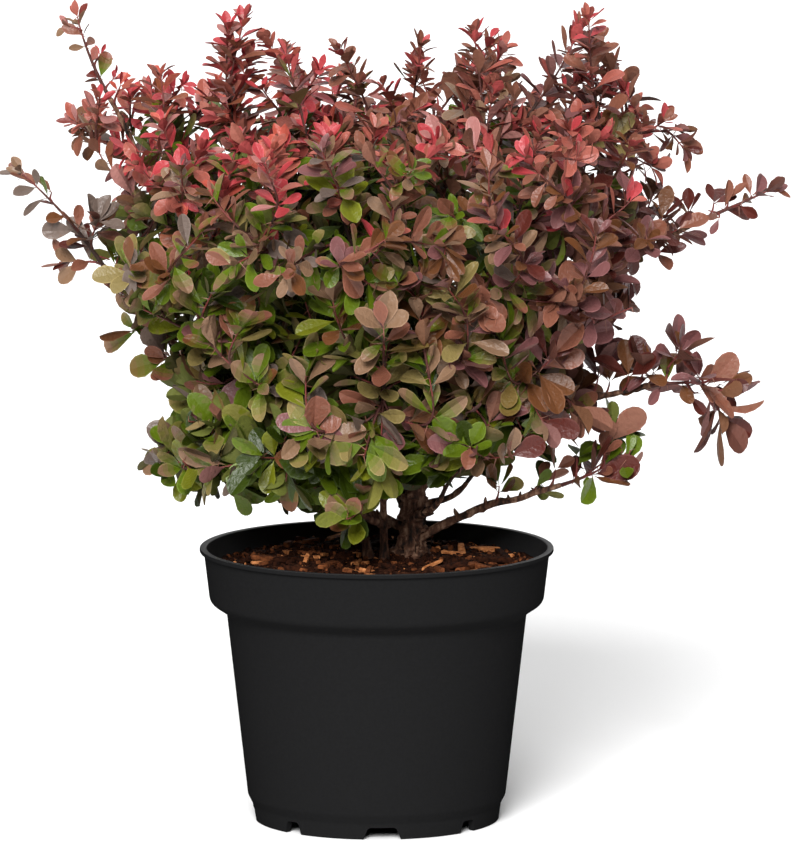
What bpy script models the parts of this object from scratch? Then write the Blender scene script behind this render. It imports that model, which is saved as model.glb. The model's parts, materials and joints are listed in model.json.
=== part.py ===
"""Dwarf purple Japanese barberry in its black nursery pot.

Metres, +Z up, the front of the plant towards -Y. Heights are above the ground,
and x and y below are measured from the pot's own axis. The whole plant hangs on
one empty, which sets the middle of its reach over the origin.
"""

import math
import random

import bmesh
import bpy
from mathutils import Matrix, Vector
from mathutils.bvhtree import BVHTree

# Where the pot's axis stands, so that the crown's reach is centred on the origin
POT_AXIS = (-0.0137, 0.0025, 0.0)

GAP = 0.0003
UP = Vector((0.0, 0.0, 1.0))

# Pot: radii and heights from the ground up
POT_SEGMENTS = 40
POT_HEIGHT = 0.1475
POT_WALL = 0.0015
BASE_RADIUS = 0.0649
FOOT_WIDTH = 0.0036
FLOOR_HEIGHT = 0.0074
FLOOR_THICKNESS = 0.0018
STEP_HEIGHT = 0.0085
STEP_RADIUS = 0.0658
BODY_FOOT_HEIGHT = 0.0135
BODY_FOOT_RADIUS = 0.0687
BODY_TOP_HEIGHT = 0.1125
BODY_TOP_RADIUS = 0.0800
BAND_FOOT_HEIGHT = 0.1195
BAND_FOOT_RADIUS = 0.0888
BAND_TOP_RADIUS = 0.0918
BAND_ROUNDING = 0.0020
LIP_HEIGHT = 0.0022
LIP_RADIUS = 0.0950
LIP_ROUNDING = 0.0004
NOTCH_TURN = math.radians(2.6)
NOTCH_COUNT = 8
NOTCH_HEIGHT = 0.0066
WIDE_NOTCH = 0.0240
NARROW_NOTCH = 0.0130
DRAIN_RADIUS = 0.0045
DRAIN_RING_RADIUS = 0.0480
DRAIN_SIDES = 10
CUT_OVERRUN = 0.0050
TURNED_SHARP_ANGLE = math.radians(35.0)

# Soil: flat round the stems, falling away to the pot's wall
SOIL_EDGE_HEIGHT = 0.1370
SOIL_TOP_HEIGHT = 0.1425
SOIL_FLAT_RADIUS = 0.0500
SOIL_SLOPE_STEPS = 4

# Trunk: a short leaning stem with a lobed flare where it meets the soil
TRUNK_FOOT = (0.0187, 0.0000)
TRUNK_FORK = (0.0245, 0.0030, 0.2080)
TRUNK_FOOT_RADIUS = 0.0066
TRUNK_FORK_RADIUS = 0.0050
TRUNK_SIDES = 12
TRUNK_RINGS = 7
FLARE_REACH = 0.0058
FLARE_HEIGHT = 0.0060
FLARE_LOBES = 3
FLARE_LOBE_DEPTH = 0.45
FLARE_TURN = 0.6
TRUNK_PULL = 0.38
TRUNK_LEAN = (0.0040, 0.0010)
FOOT_RINGS_GATHER = 1.5

# Limbs: tapering, six-sided, each carrying one mass of foliage at its tip
LIMB_SIDES = 6
LIMB_RINGS = 6
LIMB_TIP_RADIUS = 0.0013
LIMB_PULL = 0.36
LIMB_LIFT = 0.75
LIMB_TAPER = 0.8
LIMB_SHARP_ANGLE = math.radians(60.0)
MAIN_LIMB_RADIUS = 0.0028
SIDE_LIMB_RADIUS = 0.0019
SOIL_STEM_RADIUS = 0.0024
ENTRY_DEPTH = 0.58
ENTRY_LIFT = 0.35

# Crown: its axis and its limits to the left, right, back, front, top and foot
CROWN_AXIS = (0.0040, 0.0000)
CROWN_LEFT = -0.1965
CROWN_RIGHT = 0.2238
CROWN_DEPTH = 0.1800
CROWN_TOP = 0.4415
CROWN_FOOT = 0.1520
CELL_MARGIN = 0.0005
STEM_ROOM = 0.0035
INSIDE_STEPS = 40
LIMB_CLEARANCE = 0.0006

# Foliage: three-sided twigs with a leaf on each side by turns, fewer and larger than life
TWIG_SIDES = 3
TWIG_RINGS = 3
STEM_RINGS = 6
STEM_BENDS = 40
STEM_BEND_STEP = 0.0012
STEM_PULL = 0.35
TWIG_PULL = 0.30
TWIG_TURN = 0.60
FORK_LIFT = 0.5
FORK_TURN_COST = 1.9
TWIG_CANDIDATES = 60
TWIG_REACH = 0.86
STEM_RADIUS = 0.0013
TWIG_RADIUS = 0.0011
TWIG_FOOT_RADIUS = 0.0005
TWIG_TIP_RADIUS = 0.0008
LEAF_SPACING = 0.0105
LEAF_LENGTH = 0.0325
LEAF_WIDTH = 0.60
LEAF_THICKNESS = 0.040
LEAF_WIDEST = 0.62
LEAF_LENGTH_RANGE = (0.86, 1.12)
LEAF_FREE_FROM = 0.22
LEAF_TILT_RANGE = (math.radians(42.0), math.radians(60.0))
TIP_LEAF_TILT_RANGE = (math.radians(3.0), math.radians(17.0))
LEAF_FACE_UP = 0.8
LEAF_FACE_BACK = 0.3
BARE_TWIG_FOOT = 0.4

# Colours, roughness and metallic value of each kind of sub-part
FINISHES = {
    "pot": ((0.012, 0.012, 0.013), 0.42),
    "soil": ((0.040, 0.016, 0.009), 0.95),
    "bark": ((0.075, 0.040, 0.028), 0.85),
    "leaf_low": ((0.085, 0.110, 0.040), 0.55),
    "leaf_middle": ((0.150, 0.085, 0.075), 0.55),
    "leaf_high": ((0.230, 0.075, 0.085), 0.55),
}


class Mass:
    """A mass of foliage: its middle, how far it reaches and where its leading shoot ends."""

    def __init__(self, name, middle, reach, tip, finish, twigs=5, leaves=22, entry=None):
        self.name = name
        self.middle = Vector(middle)
        self.reach = reach
        self.tip = Vector(tip)
        self.finish = finish
        self.twigs = twigs
        self.leaves = leaves
        self.entry = Vector(entry) if entry else None
        self.heading = None
        self.limb_name = None


class Limb:
    """A tapering limb: its path from its parent's middle line to the mass it carries."""

    def __init__(self, name, parent, path, foot_radius):
        self.name = name
        self.parent = parent
        self.path = path
        self.foot_radius = foot_radius

    def radius(self, along):
        return self.foot_radius + (LIMB_TIP_RADIUS - self.foot_radius) * along ** LIMB_TAPER

    def shape(self, swell=0.0):
        last = len(self.path) - 1
        radii = [self.radius(number / last) + swell for number in range(last + 1)]
        return tube_shape(self.path, radii, LIMB_SIDES)


def round_crown(degrees, radius, height):
    """A point round the crown's axis; 0 degrees is to the right and 90 is behind."""
    angle = math.radians(degrees)
    across = CROWN_AXIS[0] + radius * math.cos(angle)
    return Vector((across, CROWN_AXIS[1] + radius * math.sin(angle), height))


def ring_of_masses(prefix, first_degrees, count, radius, height, reach, lift_degrees, finish, **more):
    """Masses evenly spaced round the crown, each with its leading shoot going up and outwards."""
    masses = []
    lift = math.radians(lift_degrees)
    for number in range(count):
        degrees = first_degrees + 360.0 * number / count
        middle = round_crown(degrees, radius, height)
        tip = round_crown(degrees, radius + reach * math.cos(lift), height + reach * math.sin(lift))
        masses.append(Mass(f"{prefix}_{number + 1}", middle, reach, tip, finish, **more))
    return masses


def plan_masses():
    """All the masses of foliage: four rings round the crown, then the sprays that stand out."""
    masses = ring_of_masses("foliage_low", 234.0, 5, 0.066, 0.204, 0.054, 10.0, "leaf_low")
    masses += ring_of_masses("foliage_middle", 30.0, 6, 0.106, 0.268, 0.058, 25.0, "leaf_middle")
    masses += ring_of_masses("foliage_upper", 0.0, 7, 0.116, 0.346, 0.062, 68.0, "leaf_high")
    masses += ring_of_masses("foliage_top", 80.0, 2, 0.042, 0.366, 0.060, 85.0, "leaf_high")
    masses += [
        Mass("foliage_lower_left", (-0.098, -0.030, 0.200), 0.044, (-0.136, -0.036, 0.196),
             "leaf_low", entry=(-0.062, -0.018, 0.196)),
        Mass("foliage_low_right", (0.120, -0.016, 0.190), 0.036, (0.147, -0.018, 0.206),
             "leaf_low", twigs=4, leaves=18, entry=(0.092, -0.014, 0.181)),
        Mass("foliage_left_arm", (-0.163, -0.004, 0.326), 0.044, (-0.195, -0.006, 0.357),
             "leaf_middle", entry=(-0.146, -0.002, 0.300)),
        Mass("foliage_top_left", (-0.153, 0.010, 0.411), 0.034, (-0.158, 0.012, 0.4405),
             "leaf_high", twigs=4, leaves=18, entry=(-0.142, 0.008, 0.388)),
        Mass("foliage_far_right", (0.196, 0.006, 0.333), 0.034, (0.221, 0.008, 0.344),
             "leaf_middle", twigs=4, leaves=18, entry=(0.170, 0.004, 0.322)),
        Mass("foliage_right_spray", (0.176, -0.014, 0.242), 0.042, (0.212, -0.018, 0.236),
             "leaf_middle", leaves=22, entry=(0.146, -0.010, 0.236)),
    ]
    return masses


# Each limb's parent, how far along the parent it leaves, and the mass it carries
LIMB_PLAN = (
    ("stem_short", "soil", (-0.0050, -0.0040), "foliage_lower_left"),
    ("stem_thin", "soil", (0.0040, -0.0115), "foliage_middle_5"),
    ("bough_low_right", "trunk", 0.20, "foliage_low_right"),
    ("bough_low_1", "stem_thin", 0.16, "foliage_low_1"),
    ("bough_low_2", "trunk", 0.40, "foliage_low_2"),
    ("bough_low_3", "trunk", 0.48, "foliage_low_3"),
    ("bough_low_4", "trunk", 0.36, "foliage_low_4"),
    ("bough_low_5", "trunk", 0.30, "foliage_low_5"),
    ("bough_left_arm", "trunk", 0.56, "foliage_left_arm"),
    ("bough_right_spray", "trunk", 0.66, "foliage_right_spray"),
    ("bough_upper_1", "trunk", 0.88, "foliage_upper_1"),
    ("bough_upper_3", "trunk", 0.80, "foliage_upper_3"),
    ("bough_upper_5", "trunk", 0.84, "foliage_upper_5"),
    ("bough_upper_7", "trunk", 0.76, "foliage_upper_7"),
    ("bough_top_1", "trunk", 0.97, "foliage_top_1"),
    ("bough_top_2", "bough_top_1", 0.30, "foliage_top_2"),
    ("bough_upper_2", "bough_upper_1", 0.38, "foliage_upper_2"),
    ("bough_upper_4", "bough_upper_5", 0.40, "foliage_upper_4"),
    ("bough_upper_6", "bough_upper_7", 0.42, "foliage_upper_6"),
    ("bough_middle_1", "bough_upper_1", 0.22, "foliage_middle_1"),
    ("bough_middle_2", "bough_upper_3", 0.30, "foliage_middle_2"),
    ("bough_middle_3", "bough_upper_3", 0.45, "foliage_middle_3"),
    ("bough_middle_4", "bough_upper_5", 0.24, "foliage_middle_4"),
    ("bough_middle_6", "bough_upper_7", 0.24, "foliage_middle_6"),
    ("bough_far_right", "bough_upper_1", 0.66, "foliage_far_right"),
    ("bough_top_left", "bough_upper_4", 0.55, "foliage_top_left"),
)


def clear_scene():
    for item in list(bpy.data.objects):
        bpy.data.objects.remove(item, do_unlink=True)


def make_materials():
    materials = {}
    for name, (colour, roughness) in FINISHES.items():
        material = bpy.data.materials.new(name)
        material.use_nodes = True
        shader = material.node_tree.nodes["Principled BSDF"]
        shader.inputs["Base Color"].default_value = (*colour, 1.0)
        shader.inputs["Roughness"].default_value = roughness
        shader.inputs["Metallic"].default_value = 0.0
        materials[name] = material
    return materials


def object_from_bmesh(name, shape, material=None):
    mesh = bpy.data.meshes.new(name)
    shape.to_mesh(mesh)
    shape.free()
    if material:
        mesh.materials.append(material)
    item = bpy.data.objects.new(name, mesh)
    bpy.context.scene.collection.objects.link(item)
    return item


def smooth(item, sharp_angle):
    item.data.shade_smooth()
    item.data.set_sharp_from_angle(angle=sharp_angle)


def apply_modifiers(item):
    """Replace the object's mesh by what its modifiers make of it."""
    depsgraph = bpy.context.evaluated_depsgraph_get()
    made = bpy.data.meshes.new_from_object(item.evaluated_get(depsgraph))
    old = item.data
    item.modifiers.clear()
    item.data = made
    made.name = item.name
    bpy.data.meshes.remove(old)


def cut(item, cutter):
    """Take the cutter's shape away from the object and remove the cutter."""
    modifier = item.modifiers.new("cut", "BOOLEAN")
    modifier.operation = "DIFFERENCE"
    modifier.object = cutter
    apply_modifiers(item)
    bpy.data.objects.remove(cutter, do_unlink=True)


def turned(name, profile, segments, material=None):
    """A closed solid turned round the Z axis.

    The profile is a list of (radius, height) from the middle of the underside,
    up the outer side and over to the middle of the top.
    """
    shape = bmesh.new()
    rings = []
    for radius, height in profile:
        if radius == 0.0:
            rings.append([shape.verts.new((0.0, 0.0, height))])
            continue
        ring = []
        for step in range(segments):
            angle = 2.0 * math.pi * step / segments
            ring.append(shape.verts.new((radius * math.cos(angle), radius * math.sin(angle), height)))
        rings.append(ring)
    for lower, upper in zip(rings, rings[1:]):
        for step in range(segments):
            following = (step + 1) % segments
            if len(lower) == 1:
                corners = (lower[0], upper[following], upper[step])
            elif len(upper) == 1:
                corners = (lower[step], lower[following], upper[0])
            else:
                corners = (lower[step], lower[following], upper[following], upper[step])
            shape.faces.new(corners)
    return object_from_bmesh(name, shape, material)


def inner_radius(height):
    """The pot's inside radius at a height between its floor and its band's top."""
    shoulder = BODY_TOP_HEIGHT + POT_WALL
    if height < shoulder:
        along = (height - BODY_FOOT_HEIGHT) / (BODY_TOP_HEIGHT - BODY_FOOT_HEIGHT)
        return BODY_FOOT_RADIUS + along * (BODY_TOP_RADIUS - BODY_FOOT_RADIUS) - POT_WALL
    band_top = POT_HEIGHT - LIP_HEIGHT
    along = (height - BAND_FOOT_HEIGHT) / (band_top - BAND_FOOT_HEIGHT)
    return BAND_FOOT_RADIUS + along * (BAND_TOP_RADIUS - BAND_FOOT_RADIUS) - POT_WALL


def notch_angles():
    """Each notch's place round the foot, with its width: wide and narrow ones by turns."""
    for number in range(NOTCH_COUNT):
        angle = -math.pi / 2.0 + NOTCH_TURN + 2.0 * math.pi * number / NOTCH_COUNT
        yield angle, WIDE_NOTCH if number % 2 == 0 else NARROW_NOTCH


def make_pot_cutters():
    """Boxes for the notches in the foot and round holes through the floor, as one cutter."""
    shape = bmesh.new()
    ring_radius = BASE_RADIUS - FOOT_WIDTH / 2.0
    for angle, width in notch_angles():
        turn = Matrix.Rotation(angle, 4, "Z")
        place = Matrix.Translation((ring_radius, 0.0, (NOTCH_HEIGHT - CUT_OVERRUN) / 2.0))
        depth = FOOT_WIDTH + 2.0 * CUT_OVERRUN
        size = Matrix.Diagonal((depth, width, NOTCH_HEIGHT + CUT_OVERRUN, 1.0))
        bmesh.ops.create_cube(shape, size=1.0, matrix=turn @ place @ size)
        if width == WIDE_NOTCH:
            place = Matrix.Translation((DRAIN_RING_RADIUS, 0.0, FLOOR_HEIGHT))
            bmesh.ops.create_cone(
                shape, cap_ends=True, segments=DRAIN_SIDES, radius1=DRAIN_RADIUS,
                radius2=DRAIN_RADIUS, depth=2.0 * CUT_OVERRUN, matrix=turn @ place,
            )
    return object_from_bmesh("pot_cutters", shape)


def make_pot(material):
    band_top = POT_HEIGHT - LIP_HEIGHT
    inner_shoulder = BODY_TOP_HEIGHT + POT_WALL
    floor_top = FLOOR_HEIGHT + FLOOR_THICKNESS
    profile = [
        (0.0, FLOOR_HEIGHT),
        (BASE_RADIUS - FOOT_WIDTH, FLOOR_HEIGHT),
        (BASE_RADIUS - FOOT_WIDTH, 0.0),
        (BASE_RADIUS, 0.0),
        (STEP_RADIUS, STEP_HEIGHT),
        (BODY_FOOT_RADIUS, BODY_FOOT_HEIGHT),
        (BODY_TOP_RADIUS, BODY_TOP_HEIGHT),
        (BAND_FOOT_RADIUS - BAND_ROUNDING, BAND_FOOT_HEIGHT - 1.5 * BAND_ROUNDING),
        (BAND_FOOT_RADIUS, BAND_FOOT_HEIGHT),
        (BAND_TOP_RADIUS, band_top),
        (LIP_RADIUS, band_top + LIP_ROUNDING),
        (LIP_RADIUS, POT_HEIGHT - LIP_ROUNDING),
        (LIP_RADIUS - LIP_ROUNDING, POT_HEIGHT),
        (BAND_TOP_RADIUS - POT_WALL, POT_HEIGHT),
        (inner_radius(BAND_FOOT_HEIGHT), BAND_FOOT_HEIGHT),
        (inner_radius(inner_shoulder - GAP), inner_shoulder),
        (inner_radius(BODY_FOOT_HEIGHT), BODY_FOOT_HEIGHT),
        (STEP_RADIUS - POT_WALL, floor_top),
        (0.0, floor_top),
    ]
    pot = turned("pot", profile, POT_SEGMENTS, material)
    cut(pot, make_pot_cutters())
    smooth(pot, TURNED_SHARP_ANGLE)
    return pot


def make_soil(material):
    """The root ball and potting soil, filling the pot a gap clear of its wall and floor."""
    bottom = FLOOR_HEIGHT + FLOOR_THICKNESS + GAP
    shoulder = BODY_TOP_HEIGHT + POT_WALL
    profile = [
        (0.0, bottom),
        (STEP_RADIUS - POT_WALL - 2.0 * GAP, bottom),
        (inner_radius(BODY_FOOT_HEIGHT) - GAP, BODY_FOOT_HEIGHT + GAP),
        (inner_radius(shoulder - GAP) - GAP, shoulder + GAP),
        (inner_radius(BAND_FOOT_HEIGHT) - 2.0 * GAP, BAND_FOOT_HEIGHT + GAP),
        (inner_radius(SOIL_EDGE_HEIGHT) - GAP, SOIL_EDGE_HEIGHT),
    ]
    edge_radius = profile[-1][0]
    for step in range(1, SOIL_SLOPE_STEPS + 1):
        along = step / SOIL_SLOPE_STEPS
        rise = 0.5 - 0.5 * math.cos(math.pi * along)
        radius = edge_radius + along * (SOIL_FLAT_RADIUS - edge_radius)
        height = SOIL_EDGE_HEIGHT + rise * (SOIL_TOP_HEIGHT - SOIL_EDGE_HEIGHT)
        profile.append((radius, height))
    profile.append((0.0, SOIL_TOP_HEIGHT))
    soil = turned("soil", profile, POT_SEGMENTS, material)
    smooth(soil, TURNED_SHARP_ANGLE)
    return soil


def bezier(start, start_pull, end_pull, end, count, gather=1.0):
    """Points along a cubic curve, closer together near its start where gather is over 1."""
    points = []
    for step in range(count):
        t = (step / (count - 1)) ** gather
        s = 1.0 - t
        points.append(
            start * s ** 3 + start_pull * 3.0 * s * s * t
            + end_pull * 3.0 * s * t * t + end * t ** 3
        )
    return points


def frames_along(path):
    """A direction and two crosswise axes at each point, with no twist between points."""
    directions = []
    for number in range(len(path)):
        before = path[max(number - 1, 0)]
        after = path[min(number + 1, len(path) - 1)]
        directions.append((after - before).normalized())
    side = directions[0].orthogonal().normalized()
    frames = []
    for direction in directions:
        side = (side - direction * side.dot(direction)).normalized()
        frames.append((direction, side, direction.cross(side)))
    return frames


def tube_shape(path, radii, sides, lobes=None):
    """A closed tube along a path; lobes gives a radius added at each point and angle."""
    shape = bmesh.new()
    rings = []
    frames = frames_along(path)
    for number, (point, radius) in enumerate(zip(path, radii)):
        rings.append([])
        _, side, across = frames[number]
        for step in range(sides):
            angle = 2.0 * math.pi * step / sides
            reach = radius + (lobes(number, angle) if lobes else 0.0)
            offset = side * (reach * math.cos(angle)) + across * (reach * math.sin(angle))
            rings[-1].append(shape.verts.new(point + offset))
    for lower, upper in zip(rings, rings[1:]):
        for step in range(sides):
            following = (step + 1) % sides
            shape.faces.new((lower[step], lower[following], upper[following], upper[step]))
    shape.faces.new(list(reversed(rings[0])))
    shape.faces.new(rings[-1])
    return shape


def trunk_path():
    foot = Vector((*TRUNK_FOOT, SOIL_TOP_HEIGHT + GAP))
    fork = Vector(TRUNK_FORK)
    rise = fork.z - foot.z
    pull = UP * (TRUNK_PULL * rise)
    lean = Vector((*TRUNK_LEAN, 0.0))
    return bezier(foot, foot + pull, fork - pull - lean, fork, TRUNK_RINGS, FOOT_RINGS_GATHER)


def trunk_radius(along):
    return TRUNK_FOOT_RADIUS + along * (TRUNK_FORK_RADIUS - TRUNK_FOOT_RADIUS)


def trunk_shape(swell=0.0):
    """The trunk, or with swell the same shape that much larger all round."""
    path = trunk_path()
    foot_height = path[0].z
    path[-1] = path[-1] + (path[-1] - path[-2]).normalized() * swell
    radii = [trunk_radius((point.z - foot_height) / (path[-1].z - foot_height)) + swell for point in path]

    def flare(number, angle):
        lobe = 1.0 - FLARE_LOBE_DEPTH + FLARE_LOBE_DEPTH * math.cos(FLARE_LOBES * angle + FLARE_TURN)
        return FLARE_REACH * lobe * math.exp((foot_height - path[number].z) / FLARE_HEIGHT)

    shape = tube_shape(path, radii, TRUNK_SIDES, lobes=flare)
    shape.verts.ensure_lookup_table()
    for vertex in shape.verts[:TRUNK_SIDES]:
        vertex.co.z = foot_height
    return shape


def make_trunk(material):
    trunk = object_from_bmesh("trunk", trunk_shape(), material)
    smooth(trunk, LIMB_SHARP_ANGLE)
    return trunk


def point_along(path, along):
    """The place and direction at a share of the way along a path."""
    place = along * (len(path) - 1)
    number = min(int(place), len(path) - 2)
    step = path[number + 1] - path[number]
    return path[number] + step * (place - number), step.normalized()


def in_own_space(point, mass, masses, margin=CELL_MARGIN):
    """Whether a point is inside the crown's limits and nearer to this mass than to the others."""
    if not (CROWN_LEFT < point.x < CROWN_RIGHT and abs(point.y) < CROWN_DEPTH):
        return False
    if not CROWN_FOOT < point.z < CROWN_TOP:
        return False
    own = (point - mass.middle).length_squared - mass.reach ** 2
    for other in masses:
        if other is mass:
            continue
        theirs = (point - other.middle).length_squared - other.reach ** 2
        apart = (other.middle - mass.middle).length
        if (theirs - own) / (2.0 * apart) < margin:
            return False
    return True


def bring_inside(point, mass, masses):
    """The point, or the nearest to it on the way to the mass's middle that has room round it."""
    for step in range(INSIDE_STEPS):
        nearer = point.lerp(mass.middle, step / INSIDE_STEPS)
        if in_own_space(nearer, mass, masses, STEM_ROOM):
            return nearer
    raise RuntimeError(f"{mass.name} has no room inside its own space")


def limb_path(start, start_heading, mass, masses):
    """A smooth path to the mass, which also sets where and how its stem goes in."""
    if mass.entry is None:
        heading = (mass.middle - start).normalized() + UP * ENTRY_LIFT
        mass.entry = mass.middle - heading.normalized() * (ENTRY_DEPTH * mass.reach)
    mass.entry = bring_inside(mass.entry, mass, masses)
    mass.tip = bring_inside(mass.tip, mass, masses)
    mass.heading = (mass.middle - mass.entry).normalized()
    pull = LIMB_PULL * (mass.entry - start).length
    return bezier(start, start + start_heading * pull, mass.entry - mass.heading * pull,
                  mass.entry, LIMB_RINGS)


def plan_limbs(masses):
    """Every limb's path, worked out from its parent's and from the mass it carries."""
    by_name = {mass.name: mass for mass in masses}
    paths = {"trunk": trunk_path()}
    limbs = []
    for name, parent, where, mass_name in LIMB_PLAN:
        mass = by_name[mass_name]
        mass.limb_name = name
        if parent == "soil":
            start = Vector((*where, SOIL_TOP_HEIGHT + GAP))
            paths[name] = limb_path(start, UP, mass, masses)
            limbs.append(Limb(name, parent, paths[name], SOIL_STEM_RADIUS))
            continue
        start, along_parent = point_along(paths[parent], where)
        outwards = (mass.entry or mass.middle) - start
        outwards.z = 0.0
        outwards.normalize()
        heading = (outwards + along_parent * LIMB_LIFT).normalized()
        path = limb_path(start, heading, mass, masses)
        paths[name] = path
        foot_radius = MAIN_LIMB_RADIUS if parent == "trunk" else SIDE_LIMB_RADIUS
        limbs.append(Limb(name, parent, path, foot_radius))
    return limbs


def make_limb(limb, limbs_by_name, material):
    """One limb, its foot flat on the soil or cut a gap clear of what bears it."""
    shape = limb.shape()
    if limb.parent == "soil":
        shape.verts.ensure_lookup_table()
        for vertex in shape.verts[:LIMB_SIDES]:
            vertex.co.z = limb.path[0].z
    item = object_from_bmesh(limb.name, shape, material)
    if limb.parent != "soil":
        swell = GAP / math.cos(math.pi / LIMB_SIDES)
        bearer = trunk_shape if limb.parent == "trunk" else limbs_by_name[limb.parent].shape
        cut(item, object_from_bmesh("clearance", bearer(swell)))
        keep_largest(item)
    smooth(item, LIMB_SHARP_ANGLE)
    return item


def keep_largest(item):
    """Drop any scrap of a cut or fused shape, keeping its largest piece."""
    shape = bmesh.new()
    shape.from_mesh(item.data)
    remaining = set(shape.verts)
    pieces = []
    while remaining:
        seed = remaining.pop()
        piece = {seed}
        edge = [seed]
        while edge:
            vertex = edge.pop()
            for link in vertex.link_edges:
                other = link.other_vert(vertex)
                if other in remaining:
                    remaining.remove(other)
                    piece.add(other)
                    edge.append(other)
        pieces.append(piece)
    pieces.sort(key=len)
    scraps = [vertex for piece in pieces[:-1] for vertex in piece]
    bmesh.ops.delete(shape, geom=scraps, context="VERTS")
    shape.to_mesh(item.data)
    shape.free()


def limb_trees(limbs):
    """The trunk and every limb with their clearance, ready to be tested for touching."""
    shapes = {limb.name: limb.shape(LIMB_CLEARANCE) for limb in limbs}
    shapes["trunk"] = trunk_shape(LIMB_CLEARANCE)
    trees = {name: BVHTree.FromBMesh(shape) for name, shape in shapes.items()}
    for shape in shapes.values():
        shape.free()
    return trees


def shape_fits(shape, mass, masses, trees):
    """Whether a twig or leaf keeps to its mass's space and touches none of the trees' shapes."""
    if not all(in_own_space(vertex.co, mass, masses) for vertex in shape.verts):
        return False
    tree = BVHTree.FromBMesh(shape)
    return not any(tree.overlap(other) for other in trees)


def leaf_shape(base, heading, face, length):
    """A thin six-faced leaf, widest towards its round end, ridged above its flat underside."""
    side = heading.cross(face).normalized()
    face = side.cross(heading).normalized()
    widest = base + heading * (length * LEAF_WIDEST)
    half_width = length * LEAF_WIDTH / 2.0
    shape = bmesh.new()
    foot = shape.verts.new(base)
    tip = shape.verts.new(base + heading * length)
    right = shape.verts.new(widest + side * half_width)
    left = shape.verts.new(widest - side * half_width)
    ridge = shape.verts.new(widest + face * (length * LEAF_THICKNESS))
    for first, second in ((right, ridge), (ridge, left), (left, right)):
        shape.faces.new((foot, first, second))
        shape.faces.new((tip, second, first))
    bmesh.ops.recalc_face_normals(shape, faces=shape.faces)
    return shape


def twig_radii(foot, first, count):
    """Radii from the foot, sunk in the parent, through the first free ring to the tip."""
    radii = [foot]
    for number in range(count - 1):
        radii.append(first + (TWIG_TIP_RADIUS - first) * number / (count - 2))
    return radii


def random_offset(rng):
    return Vector([rng.uniform(-1.0, 1.0) for _ in range(3)])


def pick_targets(mass, masses, rng):
    """Places for twig ends, spread as far from each other as the mass's space allows."""
    chosen = [mass.tip, mass.entry]
    for _ in range(mass.twigs):
        best, best_distance = None, 0.0
        for _ in range(TWIG_CANDIDATES):
            offset = random_offset(rng)
            if offset.length > 1.0:
                continue
            point = mass.middle + offset * (mass.reach * TWIG_REACH)
            if not in_own_space(point, mass, masses):
                continue
            distance = min((point - other).length for other in chosen)
            if distance > best_distance:
                best, best_distance = point, distance
        if best:
            chosen.append(best)
    targets = chosen[2:]
    targets.sort(key=lambda point: (point - mass.entry).length)
    return targets


def best_fork(target, paths):
    """The point of the twigs so far from which a new one reaches its target most naturally."""
    best, best_cost = None, math.inf
    for path in paths:
        for number in range(1, len(path) - 1):
            along = (path[number + 1] - path[number]).normalized()
            wish = (along + UP * FORK_LIFT).normalized()
            step = target - path[number]
            cost = step.length * (FORK_TURN_COST - step.normalized().dot(wish))
            if cost < best_cost:
                best, best_cost = (path[number], along), cost
    return best


def grow_stem(mass, masses, trees, rng):
    """The stem from the limb's end to the mass's tip, bent aside where a limb is in its way."""
    start = mass.entry + mass.heading * GAP
    length = (mass.tip - start).length
    others = [tree for name, tree in trees.items() if name != mass.limb_name]
    for bend in range(STEM_BENDS):
        aside = random_offset(rng) * (bend * STEM_BEND_STEP)
        stem = bezier(start, start + mass.heading * (STEM_PULL * length),
                      mass.middle.lerp(mass.tip, STEM_PULL) + aside, mass.tip + aside * STEM_PULL,
                      STEM_RINGS)
        # The first step runs straight on from the limb, so that their ends lie face to face
        stem[1] = start + mass.heading * (stem[1] - start).length
        shape = tube_shape(stem, twig_radii(STEM_RADIUS, STEM_RADIUS, len(stem)), TWIG_SIDES)
        if shape_fits(shape, mass, masses, others):
            return stem, shape
        shape.free()
    raise RuntimeError(f"{mass.name} has no room for its stem")


def grow_twigs(mass, masses, trees, rng):
    """The stem to the mass's tip and the side twigs that fork from it."""
    stem, shape = grow_stem(mass, masses, trees, rng)
    paths, shapes = [stem], [shape]
    for target in pick_targets(mass, masses, rng):
        fork, along = best_fork(target, paths)
        reach = (target - fork).length
        bend = fork + along * (TWIG_PULL * reach)
        path = bezier(fork, bend, bend.lerp(target, TWIG_TURN), target, TWIG_RINGS)
        shape = tube_shape(path, twig_radii(TWIG_FOOT_RADIUS, TWIG_RADIUS, TWIG_RINGS), TWIG_SIDES)
        if not shape_fits(shape, mass, masses, trees.values()):
            shape.free()
            continue
        paths.append(path)
        shapes.append(shape)
    return paths, shapes


def leaf_places(path):
    """Places for leaves, tip first: where, along which way, and square to which side."""
    frames = frames_along(path)
    yield 0, path[-1] - frames[-1][0] * TWIG_TIP_RADIUS, frames[-1][0], frames[-1][1]
    rank = 1
    for number in range(len(path) - 2, -1, -1):
        step = path[number + 1] - path[number]
        _, side, across = frames[number]
        count = max(1, round(step.length / LEAF_SPACING))
        for place in range(count):
            share = 1.0 - (place + 0.5) / count
            if number == 0 and share < BARE_TWIG_FOOT:
                continue
            angle = math.pi / TWIG_SIDES + rank * 2.0 * math.pi / TWIG_SIDES
            outwards = side * math.cos(angle) + across * math.sin(angle)
            yield rank, path[number] + step * share, step.normalized(), outwards
            rank += 1


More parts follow.
